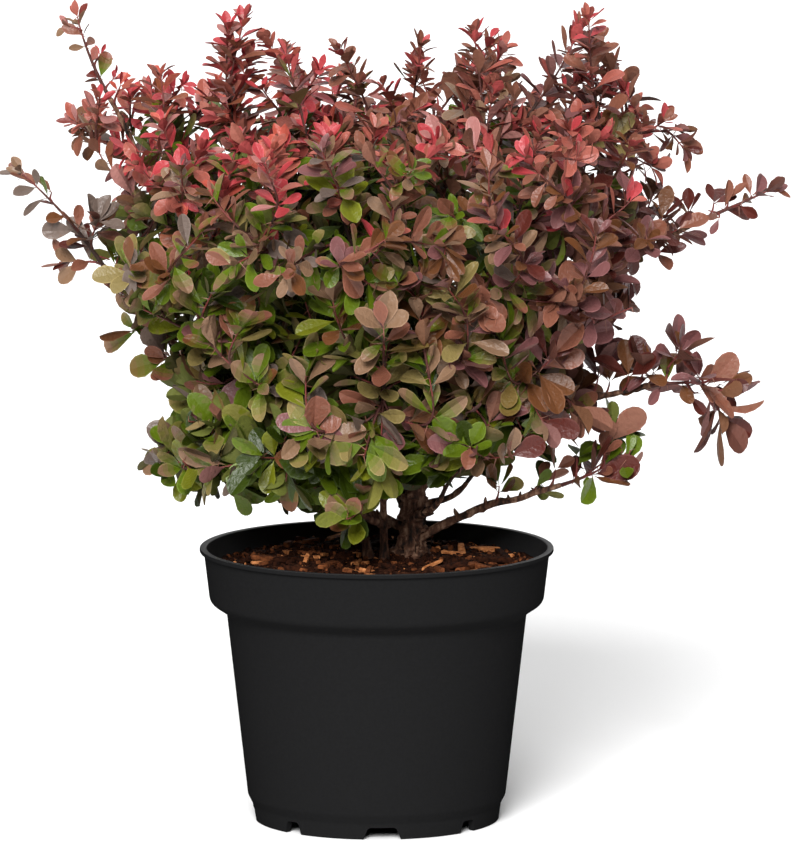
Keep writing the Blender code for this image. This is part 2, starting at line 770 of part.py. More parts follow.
def grow_leaves(mass, paths, masses, trees, rng):
    """Leaves dealt to all the twigs by turns, tips first, until the mass has its number."""
    shapes = []
    free_parts = []
    queue = []
    for path in paths:
        for rank, place, along, outwards in leaf_places(path):
            queue.append((rank, len(queue), place, along, outwards))
    queue.sort(key=lambda entry: entry[:2])
    for turn in range(TWIG_SIDES):
        for rank, _, place, along, outwards in queue:
            if len(shapes) >= mass.leaves:
                return shapes
            if rank == 0 and turn > 0:
                continue
            tilt = rng.uniform(*(LEAF_TILT_RANGE if rank else TIP_LEAF_TILT_RANGE))
            side = outwards.copy()
            side.rotate(Matrix.Rotation(turn * 2.0 * math.pi / TWIG_SIDES, 3, along))
            heading = (along * math.cos(tilt) + side * math.sin(tilt)).normalized()
            face = (along + UP * LEAF_FACE_UP - side * LEAF_FACE_BACK).normalized()
            length = LEAF_LENGTH * rng.uniform(*LEAF_LENGTH_RANGE)
            free = leaf_shape(place + heading * (length * LEAF_FREE_FROM), heading, face,
                              length * (1.0 - LEAF_FREE_FROM))
            leaf = leaf_shape(place, heading, face, length)
            if (shape_fits(leaf, mass, masses, trees.values())
                    and shape_fits(free, mass, masses, free_parts)):
                free_parts.append(BVHTree.FromBMesh(free))
                shapes.append(leaf)
            else:
                leaf.free()
            free.free()
    return shapes


def fuse(name, shapes, material):
    """Join closed shapes that run into each other into one solid."""
    group = bpy.data.collections.new(name)
    bpy.context.scene.collection.children.link(group)
    whole = object_from_bmesh(name, shapes[0], material)
    for number, shape in enumerate(shapes[1:]):
        piece = object_from_bmesh(f"{name}_piece_{number}", shape, material)
        bpy.context.scene.collection.objects.unlink(piece)
        group.objects.link(piece)
    modifier = whole.modifiers.new("fuse", "BOOLEAN")
    modifier.operation = "UNION"
    modifier.operand_type = "COLLECTION"
    modifier.collection = group
    apply_modifiers(whole)
    for piece in list(group.objects):
        bpy.data.objects.remove(piece, do_unlink=True)
    bpy.data.collections.remove(group)
    keep_largest(whole)
    return whole


def make_mass(mass, seed, masses, trees, material):
    rng = random.Random(seed)
    paths, shapes = grow_twigs(mass, masses, trees, rng)
    shapes += grow_leaves(mass, paths, masses, trees, rng)
    return fuse(mass.name, shapes, material)


def main():
    clear_scene()
    materials = make_materials()
    frame = bpy.data.objects.new("plant_frame", None)
    bpy.context.scene.collection.objects.link(frame)
    frame.location = POT_AXIS
    solids = [make_pot(materials["pot"]), make_soil(materials["soil"]), make_trunk(materials["bark"])]
    masses = plan_masses()
    limbs = plan_limbs(masses)
    limbs_by_name = {limb.name: limb for limb in limbs}
    for limb in limbs:
        solids.append(make_limb(limb, limbs_by_name, materials["bark"]))
    trees = limb_trees(limbs)
    for seed, mass in enumerate(masses, start=1):
        solids.append(make_mass(mass, seed, masses, trees, materials[mass.finish]))
    for solid in solids:
        solid.parent = frame


main()
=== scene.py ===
"""Looks of a dwarf purple Japanese barberry in its black nursery pot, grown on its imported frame.

Metres, +Z up, the front of the plant towards -Y. The plant is grown in coordinates
measured from the pot's own axis, by the same rule as its solids, and then moved
onto the frame.
"""

import json
import math
import random

import bmesh
import bpy
import numpy as np
from mathutils import Matrix, Vector, noise
from mathutils.geometry import intersect_point_line
from mathutils.kdtree import KDTree

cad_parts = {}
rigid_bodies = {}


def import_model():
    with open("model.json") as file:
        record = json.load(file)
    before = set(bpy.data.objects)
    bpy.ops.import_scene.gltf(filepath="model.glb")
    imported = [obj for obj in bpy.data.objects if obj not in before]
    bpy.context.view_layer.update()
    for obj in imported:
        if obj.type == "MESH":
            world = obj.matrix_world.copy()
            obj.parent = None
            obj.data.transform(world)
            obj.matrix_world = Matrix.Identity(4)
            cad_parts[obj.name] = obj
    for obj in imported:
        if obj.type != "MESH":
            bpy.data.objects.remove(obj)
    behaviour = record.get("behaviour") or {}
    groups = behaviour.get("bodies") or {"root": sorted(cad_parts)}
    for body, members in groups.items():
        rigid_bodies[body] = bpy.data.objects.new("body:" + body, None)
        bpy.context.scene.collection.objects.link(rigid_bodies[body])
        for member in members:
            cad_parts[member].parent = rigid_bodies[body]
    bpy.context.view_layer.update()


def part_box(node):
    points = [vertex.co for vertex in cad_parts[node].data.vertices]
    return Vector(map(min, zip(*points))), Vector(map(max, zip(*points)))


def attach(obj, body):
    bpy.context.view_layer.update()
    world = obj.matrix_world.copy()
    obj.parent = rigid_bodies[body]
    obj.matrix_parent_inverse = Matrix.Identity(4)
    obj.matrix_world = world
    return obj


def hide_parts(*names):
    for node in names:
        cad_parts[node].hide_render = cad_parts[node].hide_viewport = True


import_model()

POT_LOW, POT_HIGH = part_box("pot")
SOIL_LOW, SOIL_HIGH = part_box("soil")
POT_AXIS = Vector(((POT_LOW.x + POT_HIGH.x) / 2.0, (POT_LOW.y + POT_HIGH.y) / 2.0, 0.0))
POT_HEIGHT = POT_HIGH.z
POT_RADIUS = (POT_HIGH.x - POT_LOW.x) / 2.0
SOIL_TOP = SOIL_HIGH.z
UP = Vector((0.0, 0.0, 1.0))

# Camera: the photograph's angle, far off with a long lens
CAMERA_DISTANCE = 5.0
CAMERA_ELEVATION = math.radians(8.4)
CAMERA_LENS = 398.7
AIM_ASIDE = 0.0125
AIM_HEIGHT = 0.2153

# Pot: radii and heights as in the solids, with finer roundings
POT_SEGMENTS = 192
POT_WALL = 0.0015
BASE_RADIUS = 0.0659
FOOT_WIDTH = 0.0036
FLOOR_HEIGHT = 0.0074
FLOOR_THICKNESS = 0.0018
STEP_HEIGHT = 0.0085
STEP_RADIUS = 0.0668
BODY_FOOT_HEIGHT = 0.0135
BODY_FOOT_RADIUS = 0.0694
BODY_TOP_HEIGHT = 0.1125
BODY_TOP_RADIUS = 0.0806
BAND_FOOT_HEIGHT = 0.1195
BAND_FOOT_RADIUS = 0.0896
BAND_TOP_RADIUS = 0.0928
LIP_HEIGHT = 0.0022
LIP_RADIUS = POT_RADIUS
NOTCH_TURN = math.radians(2.6)
NOTCH_COUNT = 8
NOTCH_HEIGHT = 0.0066
WIDE_NOTCH = 0.0240
NARROW_NOTCH = 0.0130
NOTCH_ROUNDING = 0.0016
NOTCH_TAPER = 0.62
CUT_OVERRUN = 0.0050
ROUND_STEPS = 4

# Trunk and limbs, as in the solids
GAP = 0.0003
TRUNK_FOOT = (0.0187, 0.0000)
TRUNK_FORK = (0.0245, 0.0030, 0.2080)
TRUNK_FOOT_RADIUS = 0.0066
TRUNK_FORK_RADIUS = 0.0050
TRUNK_PULL = 0.38
TRUNK_LEAN = (0.0040, 0.0010)
TRUNK_SIDES = 40
TRUNK_RINGS = 90
FLARE_REACH = 0.0058
FLARE_HEIGHT = 0.0060
FLARE_LOBES = 3
FLARE_LOBE_DEPTH = 0.45
FLARE_TURN = 0.6
LIMB_SIDES = 16
LIMB_STEP = 0.0022
LIMB_TIP_RADIUS = 0.0013
LIMB_PULL = 0.36
LIMB_LIFT = 0.75
LIMB_TAPER = 0.8
MAIN_LIMB_RADIUS = 0.0028
SIDE_LIMB_RADIUS = 0.0019
SOIL_STEM_RADIUS = 0.0024
COLLAR = 0.35
COLLAR_STEPS = 3
ROOTED = 0.003
FISSURE_STEP = 0.07
BARK_GRAIN = 900.0
BARK_KNOTS = 190.0
KNOT_HEIGHT = 1.6
BEND_SCALE = 70.0
BEND_REACH = 0.0016
SPUR_LENGTHS = (0.0006, 0.0034)
SPUR_SPACING = (0.022, 0.0050)
ENTRY_DEPTH = 0.58
ENTRY_LIFT = 0.35

# Crown: its axis and its limits, as in the solids
CROWN_AXIS = (0.0040, 0.0000)
CROWN_LEFT = -0.1965
CROWN_RIGHT = 0.2238
CROWN_DEPTH = 0.1800
CROWN_TOP = 0.4415
CROWN_FOOT = 0.1520
STEM_ROOM = 0.0035
INSIDE_STEPS = 40
BODY_TOP = 0.382
LEAF_TOP = 0.394
# The dense body's radius at each height, and where its axis stands across
BODY_EDGE = (
    (0.150, 0.062), (0.188, 0.111), (0.203, 0.118), (0.217, 0.122), (0.232, 0.112), (0.246, 0.107),
    (0.262, 0.123), (0.282, 0.136), (0.304, 0.154), (0.322, 0.155), (0.350, 0.145), (0.372, 0.162),
    (0.392, 0.145), (0.410, 0.138), (0.445, 0.125),
)
BODY_AXIS = (
    (0.150, -0.010), (0.188, -0.019), (0.203, -0.009), (0.217, 0.014), (0.232, 0.004), (0.246, -0.001),
    (0.262, 0.001), (0.282, 0.001), (0.304, -0.005), (0.322, 0.006), (0.350, 0.003), (0.372, 0.000),
    (0.392, -0.017),
)
BODY_DEPTH = 1.06
LEAF_PROUD = (-0.004, 0.011)
TWIG_INSIDE = 0.004
WOBBLE_SCALE = 42.0
WOBBLE_REACH = 0.012
# How low the foliage hangs at each place across, as the camera sees it
UNDERSIDE = (
    (-0.130, 0.194), (-0.105, 0.182), (-0.073, 0.178), (-0.052, 0.173), (-0.030, 0.164), (-0.014, 0.154),
    (-0.004, 0.155), (0.003, 0.182), (0.050, 0.190), (0.080, 0.204), (0.110, 0.209), (0.140, 0.224),
)
UNDERSIDE_RISE = 0.35
UNDERSIDE_FLAT = 0.070
FRONT_DROP = 0.148
CROWN_MIDDLE = Vector((0.004, 0.0, 0.290))
SHADE_DEPTH = 0.055

# Twigs: grown as in the solids, and carried on to finer ones
STEM_PULL = 0.35
TWIG_PULL = 0.34
TWIG_TURN = 0.60
FORK_LIFT = 0.5
FORK_TURN_COST = 1.9
TWIG_CANDIDATES = 60
TWIG_REACH = 1.04
SPRAY_REACH = 0.90
TWIGS_PER_REACH = 460.0
TWIG_STEP = 0.0040
TWIG_SIDES = 5
STEM_RADIUS = 0.0013
TWIG_RADIUS = 0.0009
TWIG_TIP_RADIUS = 0.00035
TWIG_ARCH = 0.20
LEADER_LENGTH = 0.110
LEADER_LIFT = 0.6
SIDE_SHOOT_LENGTHS = (0.008, 0.018)
# How far apart a limb's side shoots stand, how far across they start, and whether all of them rise
SIDE_SHOOT_RULES = {
    "bough_left_arm": (0.010, 0.100, False), "bough_right_spray": (0.0070, 0.095, True),
    "bough_far_right": (0.012, 0.140, True), "bough_low_right": (0.014, 0.060, True),
    "bough_top_left": (0.012, 0.100, True),
}
NODE_SPACING = 0.0088
YOUNG_NODES = 5.0
BARE_FOOT = 0.006
ROSETTE_SHARE = 0.55

# Leaves
LEAF_SPECULAR = 0.27
LEAF_ROUGHNESS = 0.38
LEAF_CREASE = 16.0
# The rim's gain and lift make a paler leaf margin: partly the margin's own tone, partly painted sheen of the leaf's
# waxy bloom
RIM_GAIN = 1.30
RIM_LIFT = 0.010
LEAF_RINGS = (0.14, 0.38, 0.60, 0.79, 0.91, 0.975)
LEAF_ZONES = (0, 1, 2, 3, 3)
LEAF_ACROSS = (-1.0, -0.86, 0.0, 0.86, 1.0)
LEAF_STRIPS = ("rim", "blade", "blade", "rim")
LEAF_PETIOLE = 0.14
LEAF_WIDEST = 0.66
LEAF_LENGTH = 0.0214
LEAF_THICKNESS = 0.00028
LEAF_SIZE_FOOT = 1.24
LEAF_SIZE_TOP = 0.81
SPRAY_LEAF_ROOM = 0.008
SPRAY_FACE = Vector((0.0, -0.7, 0.0))

# The skyline that the leading shoots make in front: how far across and how high each one's tip shows
SKYLINE = (
    (-0.160, 0.386), (-0.146, 0.397), (-0.132, 0.401), (-0.122, 0.404), (-0.1146, 0.411), (-0.104, 0.406),
    (-0.078, 0.434), (-0.070, 0.439), (-0.066, 0.420), (-0.058, 0.429), (-0.060, 0.402), (-0.086, 0.406),
    (-0.048, 0.423), (-0.030, 0.412), (-0.019, 0.423), (-0.010, 0.406), (0.004, 0.404), (0.024, 0.426),
    (0.052, 0.431), (0.060, 0.430), (0.067, 0.424), (0.062, 0.403), (0.073, 0.398), (0.107, 0.434),
    (0.112, 0.4385), (0.116, 0.432), (0.119, 0.424), (0.108, 0.410), (0.122, 0.408), (0.132, 0.402),
    (0.152, 0.386), (0.163, 0.372), (-0.086, 0.388), (-0.074, 0.396), (0.020, 0.390),
)
SKYLINE_DEPTHS = (-0.060, 0.045)
LOWEST_SKYLINE = 0.358
SIDE_DEPTHS = (-0.020, 0.000)
# The same at the back: across, depth and height of each tip
BACK_SHOOTS = (
    (-0.122, 0.075, 0.388), (-0.078, 0.090, 0.412), (-0.050, 0.080, 0.404), (-0.019, 0.105, 0.398),
    (0.024, 0.085, 0.400), (0.050, 0.105, 0.404), (0.064, 0.080, 0.404), (0.106, 0.085, 0.412),
    (0.140, 0.070, 0.384),
)
# Shoots that stand out at the side: how far across and how high each one's tip shows
SIDE_TIPS = (
    (0.146, 0.362), (0.152, 0.334), (0.160, 0.328), (0.162, 0.262), (0.166, 0.244), (0.172, 0.248),
    (0.184, 0.228), (0.126, 0.218), (0.115, 0.196), (-0.148, 0.332),
)
TIP_LEAF = 0.0095


class Mass:
    """A mass of foliage: its middle, how far it reaches and where its leading shoot ends."""

    def __init__(self, name, middle, reach, tip, group, density=1.0, entry=None, slim=None, stem=1.0, hang=0.004, leaf=1.0):
        self.name = name
        self.middle = Vector(middle)
        self.reach = reach
        self.tip = Vector(tip)
        side = "back" if self.middle.y > 0.0 else "left" if self.middle.x < 0.0 else "right"
        self.group = group if entry else f"{group}_{side}"
        self.density = density
        self.spray = group == "sprays"
        self.entry = Vector(entry) if entry else None
        self.slim = slim
        self.stem = stem
        self.hang = hang
        self.leaf = leaf
        self.heading = None
        self.limb_name = None


def round_crown(degrees, radius, height):
    """A point round the crown's axis; 0 degrees is to the right and 90 is behind."""
    angle = math.radians(degrees)
    across = CROWN_AXIS[0] + radius * math.cos(angle)
    return Vector((across, CROWN_AXIS[1] + radius * math.sin(angle), height))


def ring_of_masses(prefix, first_degrees, count, radius, height, reach, lift_degrees, group, density=1.0):
    """Masses evenly spaced round the crown, each with its leading shoot going up and outwards."""
    masses = []
    lift = math.radians(lift_degrees)
    for number in range(count):
        degrees = first_degrees + 360.0 * number / count
        middle = round_crown(degrees, radius, height)
        tip = round_crown(degrees, radius + reach * math.cos(lift), height + reach * math.sin(lift))
        masses.append(Mass(f"{prefix}_{number + 1}", middle, reach, tip, group, density))
    return masses


def plan_masses():
    """All the masses of foliage: four rings round the crown, then the sprays that stand out."""
    masses = ring_of_masses("foliage_low", 234.0, 5, 0.066, 0.204, 0.054, 10.0, "low")
    masses += ring_of_masses("foliage_middle", 30.0, 6, 0.106, 0.268, 0.058, 25.0, "middle")
    masses += ring_of_masses("foliage_upper", 0.0, 7, 0.116, 0.346, 0.062, 68.0, "upper", 1.12)
    masses += ring_of_masses("foliage_top", 80.0, 2, 0.042, 0.366, 0.060, 85.0, "top", 1.5)
    masses += [
        Mass("foliage_lower_left", (-0.098, -0.030, 0.200), 0.044, (-0.136, -0.036, 0.196),
             "low", density=0.75, entry=(-0.062, -0.018, 0.196), stem=0.80),
        Mass("foliage_low_right", (0.120, -0.016, 0.190), 0.036, (0.147, -0.018, 0.206),
             "sprays", density=0.42, entry=(0.092, -0.014, 0.181), slim=0.012, stem=0.66, hang=0.010, leaf=0.72),
        Mass("foliage_left_arm", (-0.163, -0.004, 0.326), 0.044, (-0.195, -0.006, 0.357),
             "sprays", density=0.20, entry=(-0.146, -0.002, 0.300), slim=0.008, hang=0.007, leaf=0.88),
        Mass("foliage_top_left", (-0.155, 0.010, 0.411), 0.034, (-0.163, 0.012, 0.4405),
             "sprays", density=0.35, entry=(-0.142, 0.008, 0.388), slim=0.008, leaf=0.9),
        Mass("foliage_far_right", (0.196, 0.006, 0.333), 0.034, (0.221, 0.008, 0.344),
             "sprays", density=0.40, entry=(0.170, 0.004, 0.322), slim=0.009, hang=0.010),
        Mass("foliage_right_spray", (0.176, -0.014, 0.242), 0.042, (0.212, -0.018, 0.236),
             "sprays", density=0.50, entry=(0.146, -0.010, 0.236), slim=0.013, stem=0.58, hang=0.018, leaf=0.92),
    ]
    return masses


# Each limb's parent, how far along the parent it leaves, and the mass it carries
LIMB_PLAN = (
    ("stem_short", "soil", (-0.0050, -0.0040), "foliage_lower_left"),
    ("stem_thin", "soil", (0.0040, -0.0115), "foliage_middle_5"),
    ("bough_low_right", "trunk", 0.20, "foliage_low_right"),
    ("bough_low_1", "stem_thin", 0.16, "foliage_low_1"),
    ("bough_low_2", "trunk", 0.40, "foliage_low_2"),
    ("bough_low_3", "trunk", 0.48, "foliage_low_3"),
    ("bough_low_4", "trunk", 0.36, "foliage_low_4"),
    ("bough_low_5", "trunk", 0.30, "foliage_low_5"),
    ("bough_left_arm", "trunk", 0.56, "foliage_left_arm"),
    ("bough_right_spray", "trunk", 0.66, "foliage_right_spray"),
    ("bough_upper_1", "trunk", 0.88, "foliage_upper_1"),
    ("bough_upper_3", "trunk", 0.80, "foliage_upper_3"),
    ("bough_upper_5", "trunk", 0.84, "foliage_upper_5"),
    ("bough_upper_7", "trunk", 0.76, "foliage_upper_7"),
    ("bough_top_1", "trunk", 0.97, "foliage_top_1"),
    ("bough_top_2", "bough_top_1", 0.30, "foliage_top_2"),
    ("bough_upper_2", "bough_upper_1", 0.38, "foliage_upper_2"),
    ("bough_upper_4", "bough_upper_5", 0.40, "foliage_upper_4"),
    ("bough_upper_6", "bough_upper_7", 0.42, "foliage_upper_6"),
    ("bough_middle_1", "bough_upper_1", 0.22, "foliage_middle_1"),
    ("bough_middle_2", "bough_upper_3", 0.30, "foliage_middle_2"),
    ("bough_middle_3", "bough_upper_3", 0.45, "foliage_middle_3"),
    ("bough_middle_4", "bough_upper_5", 0.24, "foliage_middle_4"),
    ("bough_middle_6", "bough_upper_7", 0.24, "foliage_middle_6"),
    ("bough_far_right", "bough_upper_1", 0.66, "foliage_far_right"),
    ("bough_top_left", "bough_upper_4", 0.55, "foliage_top_left"),
)


def bezier(start, start_pull, end_pull, end, count, gather=1.0):
    """Points along a cubic curve, closer together near its start where gather is over 1."""
    points = []
    for step in range(count):
        t = (step / (count - 1)) ** gather
        s = 1.0 - t
        points.append(
            start * s ** 3 + start_pull * 3.0 * s * s * t
            + end_pull * 3.0 * s * t * t + end * t ** 3
        )
    return points


def frames_along(path):
    """A direction and two crosswise axes at each point, with no twist between points."""
    directions = []
    for number in range(len(path)):
        before = path[max(number - 1, 0)]
        after = path[min(number + 1, len(path) - 1)]
        directions.append((after - before).normalized())
    side = directions[0].orthogonal().normalized()
    frames = []
    for direction in directions:
        side = (side - direction * side.dot(direction)).normalized()
        frames.append((direction, side, direction.cross(side)))
    return frames


def point_along(path, along):
    """The place and direction at a share of the way along a path."""
    place = along * (len(path) - 1)
    number = min(int(place), len(path) - 2)
    step = path[number + 1] - path[number]
    return path[number] + step * (place - number), step.normalized()


def in_own_space(point, mass, masses, margin=0.0):
    """Whether a point is inside the crown's limits and nearer to this mass than to the others."""
    if not (CROWN_LEFT < point.x < CROWN_RIGHT and abs(point.y) < CROWN_DEPTH):
        return False
    if not CROWN_FOOT < point.z < CROWN_TOP:
        return False
    own = (point - mass.middle).length_squared - mass.reach ** 2
    for other in masses:
        if other is mass:
            continue
        theirs = (point - other.middle).length_squared - other.reach ** 2
        apart = (other.middle - mass.middle).length
        if (theirs - own) / (2.0 * apart) < margin:
            return False
    return True


def graded(place, steps):
    """The value at a place on a line of (place, value) steps."""
    if place <= steps[0][0]:
        return steps[0][1]
    for (low, first), (high, second) in zip(steps, steps[1:]):
        if place <= high:
            return first + (second - first) * (place - low) / (high - low)
    return steps[-1][1]


def underside(x, y):
    """The lowest that foliage hangs at a place."""
    rise = UNDERSIDE_RISE * max(0.0, abs(y) - UNDERSIDE_FLAT)
    return graded(x, UNDERSIDE) + max(rise, -FRONT_DROP * y)


def in_body(point, proud, top):
    """Whether a point is inside the dense body's outline, or that far outside it."""
    wobble = WOBBLE_REACH * noise.noise(point * WOBBLE_SCALE)
    shown = point.z + FRONT_DROP * max(0.0, point.y)
    if shown > top or point.z < underside(point.x, point.y) - proud - wobble:
        return False
    away = math.hypot(point.x - graded(point.z, BODY_AXIS), point.y / BODY_DEPTH)
    return away < graded(point.z, BODY_EDGE) + proud + wobble


def bring_inside(point, mass, masses):
    """The point, or the nearest to it on the way to the mass's middle that has room round it."""
    for step in range(INSIDE_STEPS):
        nearer = point.lerp(mass.middle, step / INSIDE_STEPS)
        if in_own_space(nearer, mass, masses, STEM_ROOM):
            return nearer
    raise RuntimeError(f"{mass.name} has no room inside its own space")


class Limb:
    """A tapering limb along a smooth path."""

    def __init__(self, name, parent, path, foot_radius, mass):
        self.name = name
        self.parent = parent
        self.path = path
        self.foot_radius = foot_radius
        self.mass = mass

    def radius(self, along):
        return self.foot_radius + (LIMB_TIP_RADIUS - self.foot_radius) * along ** LIMB_TAPER


def limb_path(start, start_heading, mass, masses, count):
    """A smooth path to the mass, which also sets where and how its stem goes in."""
    if mass.entry is None:
        heading = (mass.middle - start).normalized() + UP * ENTRY_LIFT
        mass.entry = mass.middle - heading.normalized() * (ENTRY_DEPTH * mass.reach)
    mass.entry = bring_inside(mass.entry, mass, masses)
    mass.tip = bring_inside(mass.tip, mass, masses)
    mass.heading = (mass.middle - mass.entry).normalized()
    pull = LIMB_PULL * (mass.entry - start).length
    return bezier(start, start + start_heading * pull, mass.entry - mass.heading * pull,
                  mass.entry, count)


def trunk_path(count):
    foot = Vector((*TRUNK_FOOT, SOIL_TOP + GAP))
    fork = Vector(TRUNK_FORK)
    pull = UP * (TRUNK_PULL * (fork.z - foot.z))
    lean = Vector((*TRUNK_LEAN, 0.0))
    return bezier(foot, foot + pull, fork - pull - lean, fork, count, 1.5)


SOLID_RINGS = 6
SOLID_TRUNK_RINGS = 7


def plan_limbs(masses):
    """Every limb's path, from its parent's and the mass it carries, as in the solids."""
    by_name = {mass.name: mass for mass in masses}
    coarse = {"trunk": trunk_path(SOLID_TRUNK_RINGS)}
    limbs = []
    for name, parent, where, mass_name in LIMB_PLAN:
        mass = by_name[mass_name]
        mass.limb_name = name
        if parent == "soil":
            start = Vector((*where, SOIL_TOP + GAP))
            heading = UP
            foot_radius = SOIL_STEM_RADIUS
        else:
            start, along_parent = point_along(coarse[parent], where)
            outwards = (mass.entry or mass.middle) - start
            outwards.z = 0.0
            outwards.normalize()
            heading = (outwards + along_parent * LIMB_LIFT).normalized()
            foot_radius = MAIN_LIMB_RADIUS if parent == "trunk" else SIDE_LIMB_RADIUS
        coarse[name] = limb_path(start, heading, mass, masses, SOLID_RINGS)
        length = (mass.entry - start).length
        count = max(12, round(length / LIMB_STEP))
        path = limb_path(start, heading, mass, masses, count)
        limbs.append(Limb(name, parent, path, foot_radius, mass))
    return limbs


class MeshParts:
    """Vertices, faces and slots of a mesh that is gathered from many small shapes."""

    def __init__(self):
        self.points = []
        self.faces = []
        self.slots = []
        self.count = 0

    def add(self, points, faces, slots):
        """points is an array of rows; faces index into them; slots holds one number a face."""
        self.points.append(np.asarray(points, dtype=np.float64).reshape(-1, 3))
        self.faces.extend([tuple(corner + self.count for corner in face) for face in faces])
        self.slots.extend(slots)
        self.count += len(self.points[-1])

    def make(self, name, materials, sharp_degrees=None):
        """The mesh object, moved from the pot's axis onto the frame."""
        mesh = bpy.data.meshes.new(name)
        points = np.concatenate(self.points) + np.array(POT_AXIS)
        mesh.from_pydata(points.tolist(), [], self.faces)
        for material in materials:
            mesh.materials.append(material)
        mesh.polygons.foreach_set("material_index", np.array(self.slots, dtype=np.int32))
        mesh.shade_smooth()
        if sharp_degrees is not None:
            mesh.set_sharp_from_angle(angle=math.radians(sharp_degrees))
        mesh.update()
        item = bpy.data.objects.new(name, mesh)
        bpy.context.scene.collection.objects.link(item)
        return item


def tube_arrays(path, radii, sides, relief=None, round_tip=True):
    """Points and faces of a tube closed at both ends; relief gives a height at each point."""
    frames = frames_along(path)
    points = []
    for number, (point, radius) in enumerate(zip(path, radii)):
        _, side, across = frames[number]
        for step in range(sides):
            angle = 2.0 * math.pi * step / sides
            outwards = side * math.cos(angle) + across * math.sin(angle)
            reach = radius
            if relief:
                reach += relief(number, angle, point + outwards * radius, radius)
            points.append(point + outwards * reach)
    faces = []
    for ring in range(len(path) - 1):
        low = ring * sides
        for step in range(sides):
            following = (step + 1) % sides
            faces.append((low + step, low + following, low + sides + following, low + sides + step))
    foot = len(points)
    points.append(path[0])
    tip = len(points)
    points.append(path[-1] + frames[-1][0] * (radii[-1] if round_tip else 0.0))
    last = (len(path) - 1) * sides
    for step in range(sides):
        following = (step + 1) % sides
        faces.append((foot, following, step))
        faces.append((tip, last + step, last + following))
    return points, faces


def random_offset(rng):
    return Vector([rng.uniform(-1.0, 1.0) for _ in range(3)])


def in_spray(point, mass, room=0.0):
    """Whether a point is near enough to the stem's line, and no lower than a spray hangs."""
    share = intersect_point_line(point, mass.entry, mass.tip)[1]
    nearest = mass.entry.lerp(mass.tip, min(mass.stem, max(0.0, share)))
    low = nearest.z - mass.hang * min(1.0, max(0.2, share)) - room
    return (point - nearest).length < mass.slim + room and point.z > low


def pick_targets(mass, masses, count, rng):
    """Places for twig ends, spread as far from each other as the mass's space allows."""
    chosen = [mass.tip, mass.entry]
    for _ in range(count):
        best, best_distance = None, 0.0
        for _ in range(TWIG_CANDIDATES):
            offset = random_offset(rng)
            if offset.length > 1.0:
                continue
            point = mass.middle + offset * (mass.reach * (SPRAY_REACH if mass.spray else TWIG_REACH))
            if not in_own_space(point, mass, masses):
                continue
            if not (in_spray(point, mass) if mass.spray else in_body(point, -TWIG_INSIDE, BODY_TOP)):
                continue
            distance = min((point - other).length for other in chosen)
            if distance > best_distance:
                best, best_distance = point, distance
        if best:
            chosen.append(best)
    targets = chosen[2:]
    targets.sort(key=lambda point: (point - mass.entry).length)
    return targets


def best_fork(target, shoots):
    """The point of the shoots so far from which a new one reaches its target most naturally."""
    best, best_cost = None, math.inf
    for shoot in shoots:
        path = shoot.path
        for number in range(1, len(path) - 1):
            along = (path[number + 1] - path[number]).normalized()
            wish = (along + UP * FORK_LIFT).normalized()
            step = target - path[number]
            if step.length < 1e-6:
                continue
            cost = step.length * (FORK_TURN_COST - step.normalized().dot(wish))
            if cost < best_cost:
                best, best_cost = (path[number], along), cost
    return best


class Shoot:
    """A twig with its leaves: its path, how thick it starts and what colours it takes."""

    def __init__(self, path, foot_radius, mass, free=False):
        self.path = path
        self.foot_radius = foot_radius
        self.mass = mass
        self.free = free
        self.warmth = 0.0


def grow_shoot(fork, along, target, foot_radius, mass, free=False):
    reach = (target - fork).length
    bend = fork + along * (TWIG_PULL * reach)
    arch = UP * (TWIG_ARCH * reach)
    count = max(5, round(reach / TWIG_STEP) + 1)
    path = bezier(fork, bend, bend.lerp(target, TWIG_TURN) - arch * 0.5, target, count)
    return Shoot(path, foot_radius, mass, free)


def grow_mass(mass, masses, rng):
    """The stem on from the limb's end to the mass's tip, and the twigs that fork from it."""
    start = mass.entry + mass.heading * GAP
    tip = start.lerp(mass.tip, mass.stem) - (mass.tip - start).normalized() * TIP_LEAF
    length = (tip - start).length
    count = max(6, round(length / TWIG_STEP))
    stem = bezier(start, start + mass.heading * (STEM_PULL * length),
                  mass.middle.lerp(tip, STEM_PULL), tip, count)
    if not mass.spray:
        stem = [point for point in stem if point.z < BODY_TOP]
    shoots = [Shoot(stem, STEM_RADIUS, mass)]
    wanted = round(TWIGS_PER_REACH * mass.reach * mass.density)
    for target in pick_targets(mass, masses, wanted, rng):
        fork, along = best_fork(target, shoots)
        shoots.append(grow_shoot(fork, along, target, TWIG_RADIUS, mass))
    return shoots


def grow_leaders(shoots, rng):
    """The leading shoots at the crown's top, each from the twig that bears it most naturally."""
    places = []
    for across, shown in SKYLINE + SIDE_TIPS:
        depth = rng.uniform(*(SKYLINE_DEPTHS if shown > LOWEST_SKYLINE else SIDE_DEPTHS))
        places.append(Vector((across, depth, shown - FRONT_DROP * depth)))
    places += [Vector(place) for place in BACK_SHOOTS]
    leaders = []
    for place in places:
        target = place - UP * TIP_LEAF
        near = [shoot for shoot in shoots if (shoot.path[0] - target).length < LEADER_LENGTH]
        fork, along = best_fork(target, near)
        heading = (along + UP * LEADER_LIFT).normalized()
        leaders.append(grow_shoot(fork, heading, target, TWIG_RADIUS, near[0].mass, free=True))
    return leaders


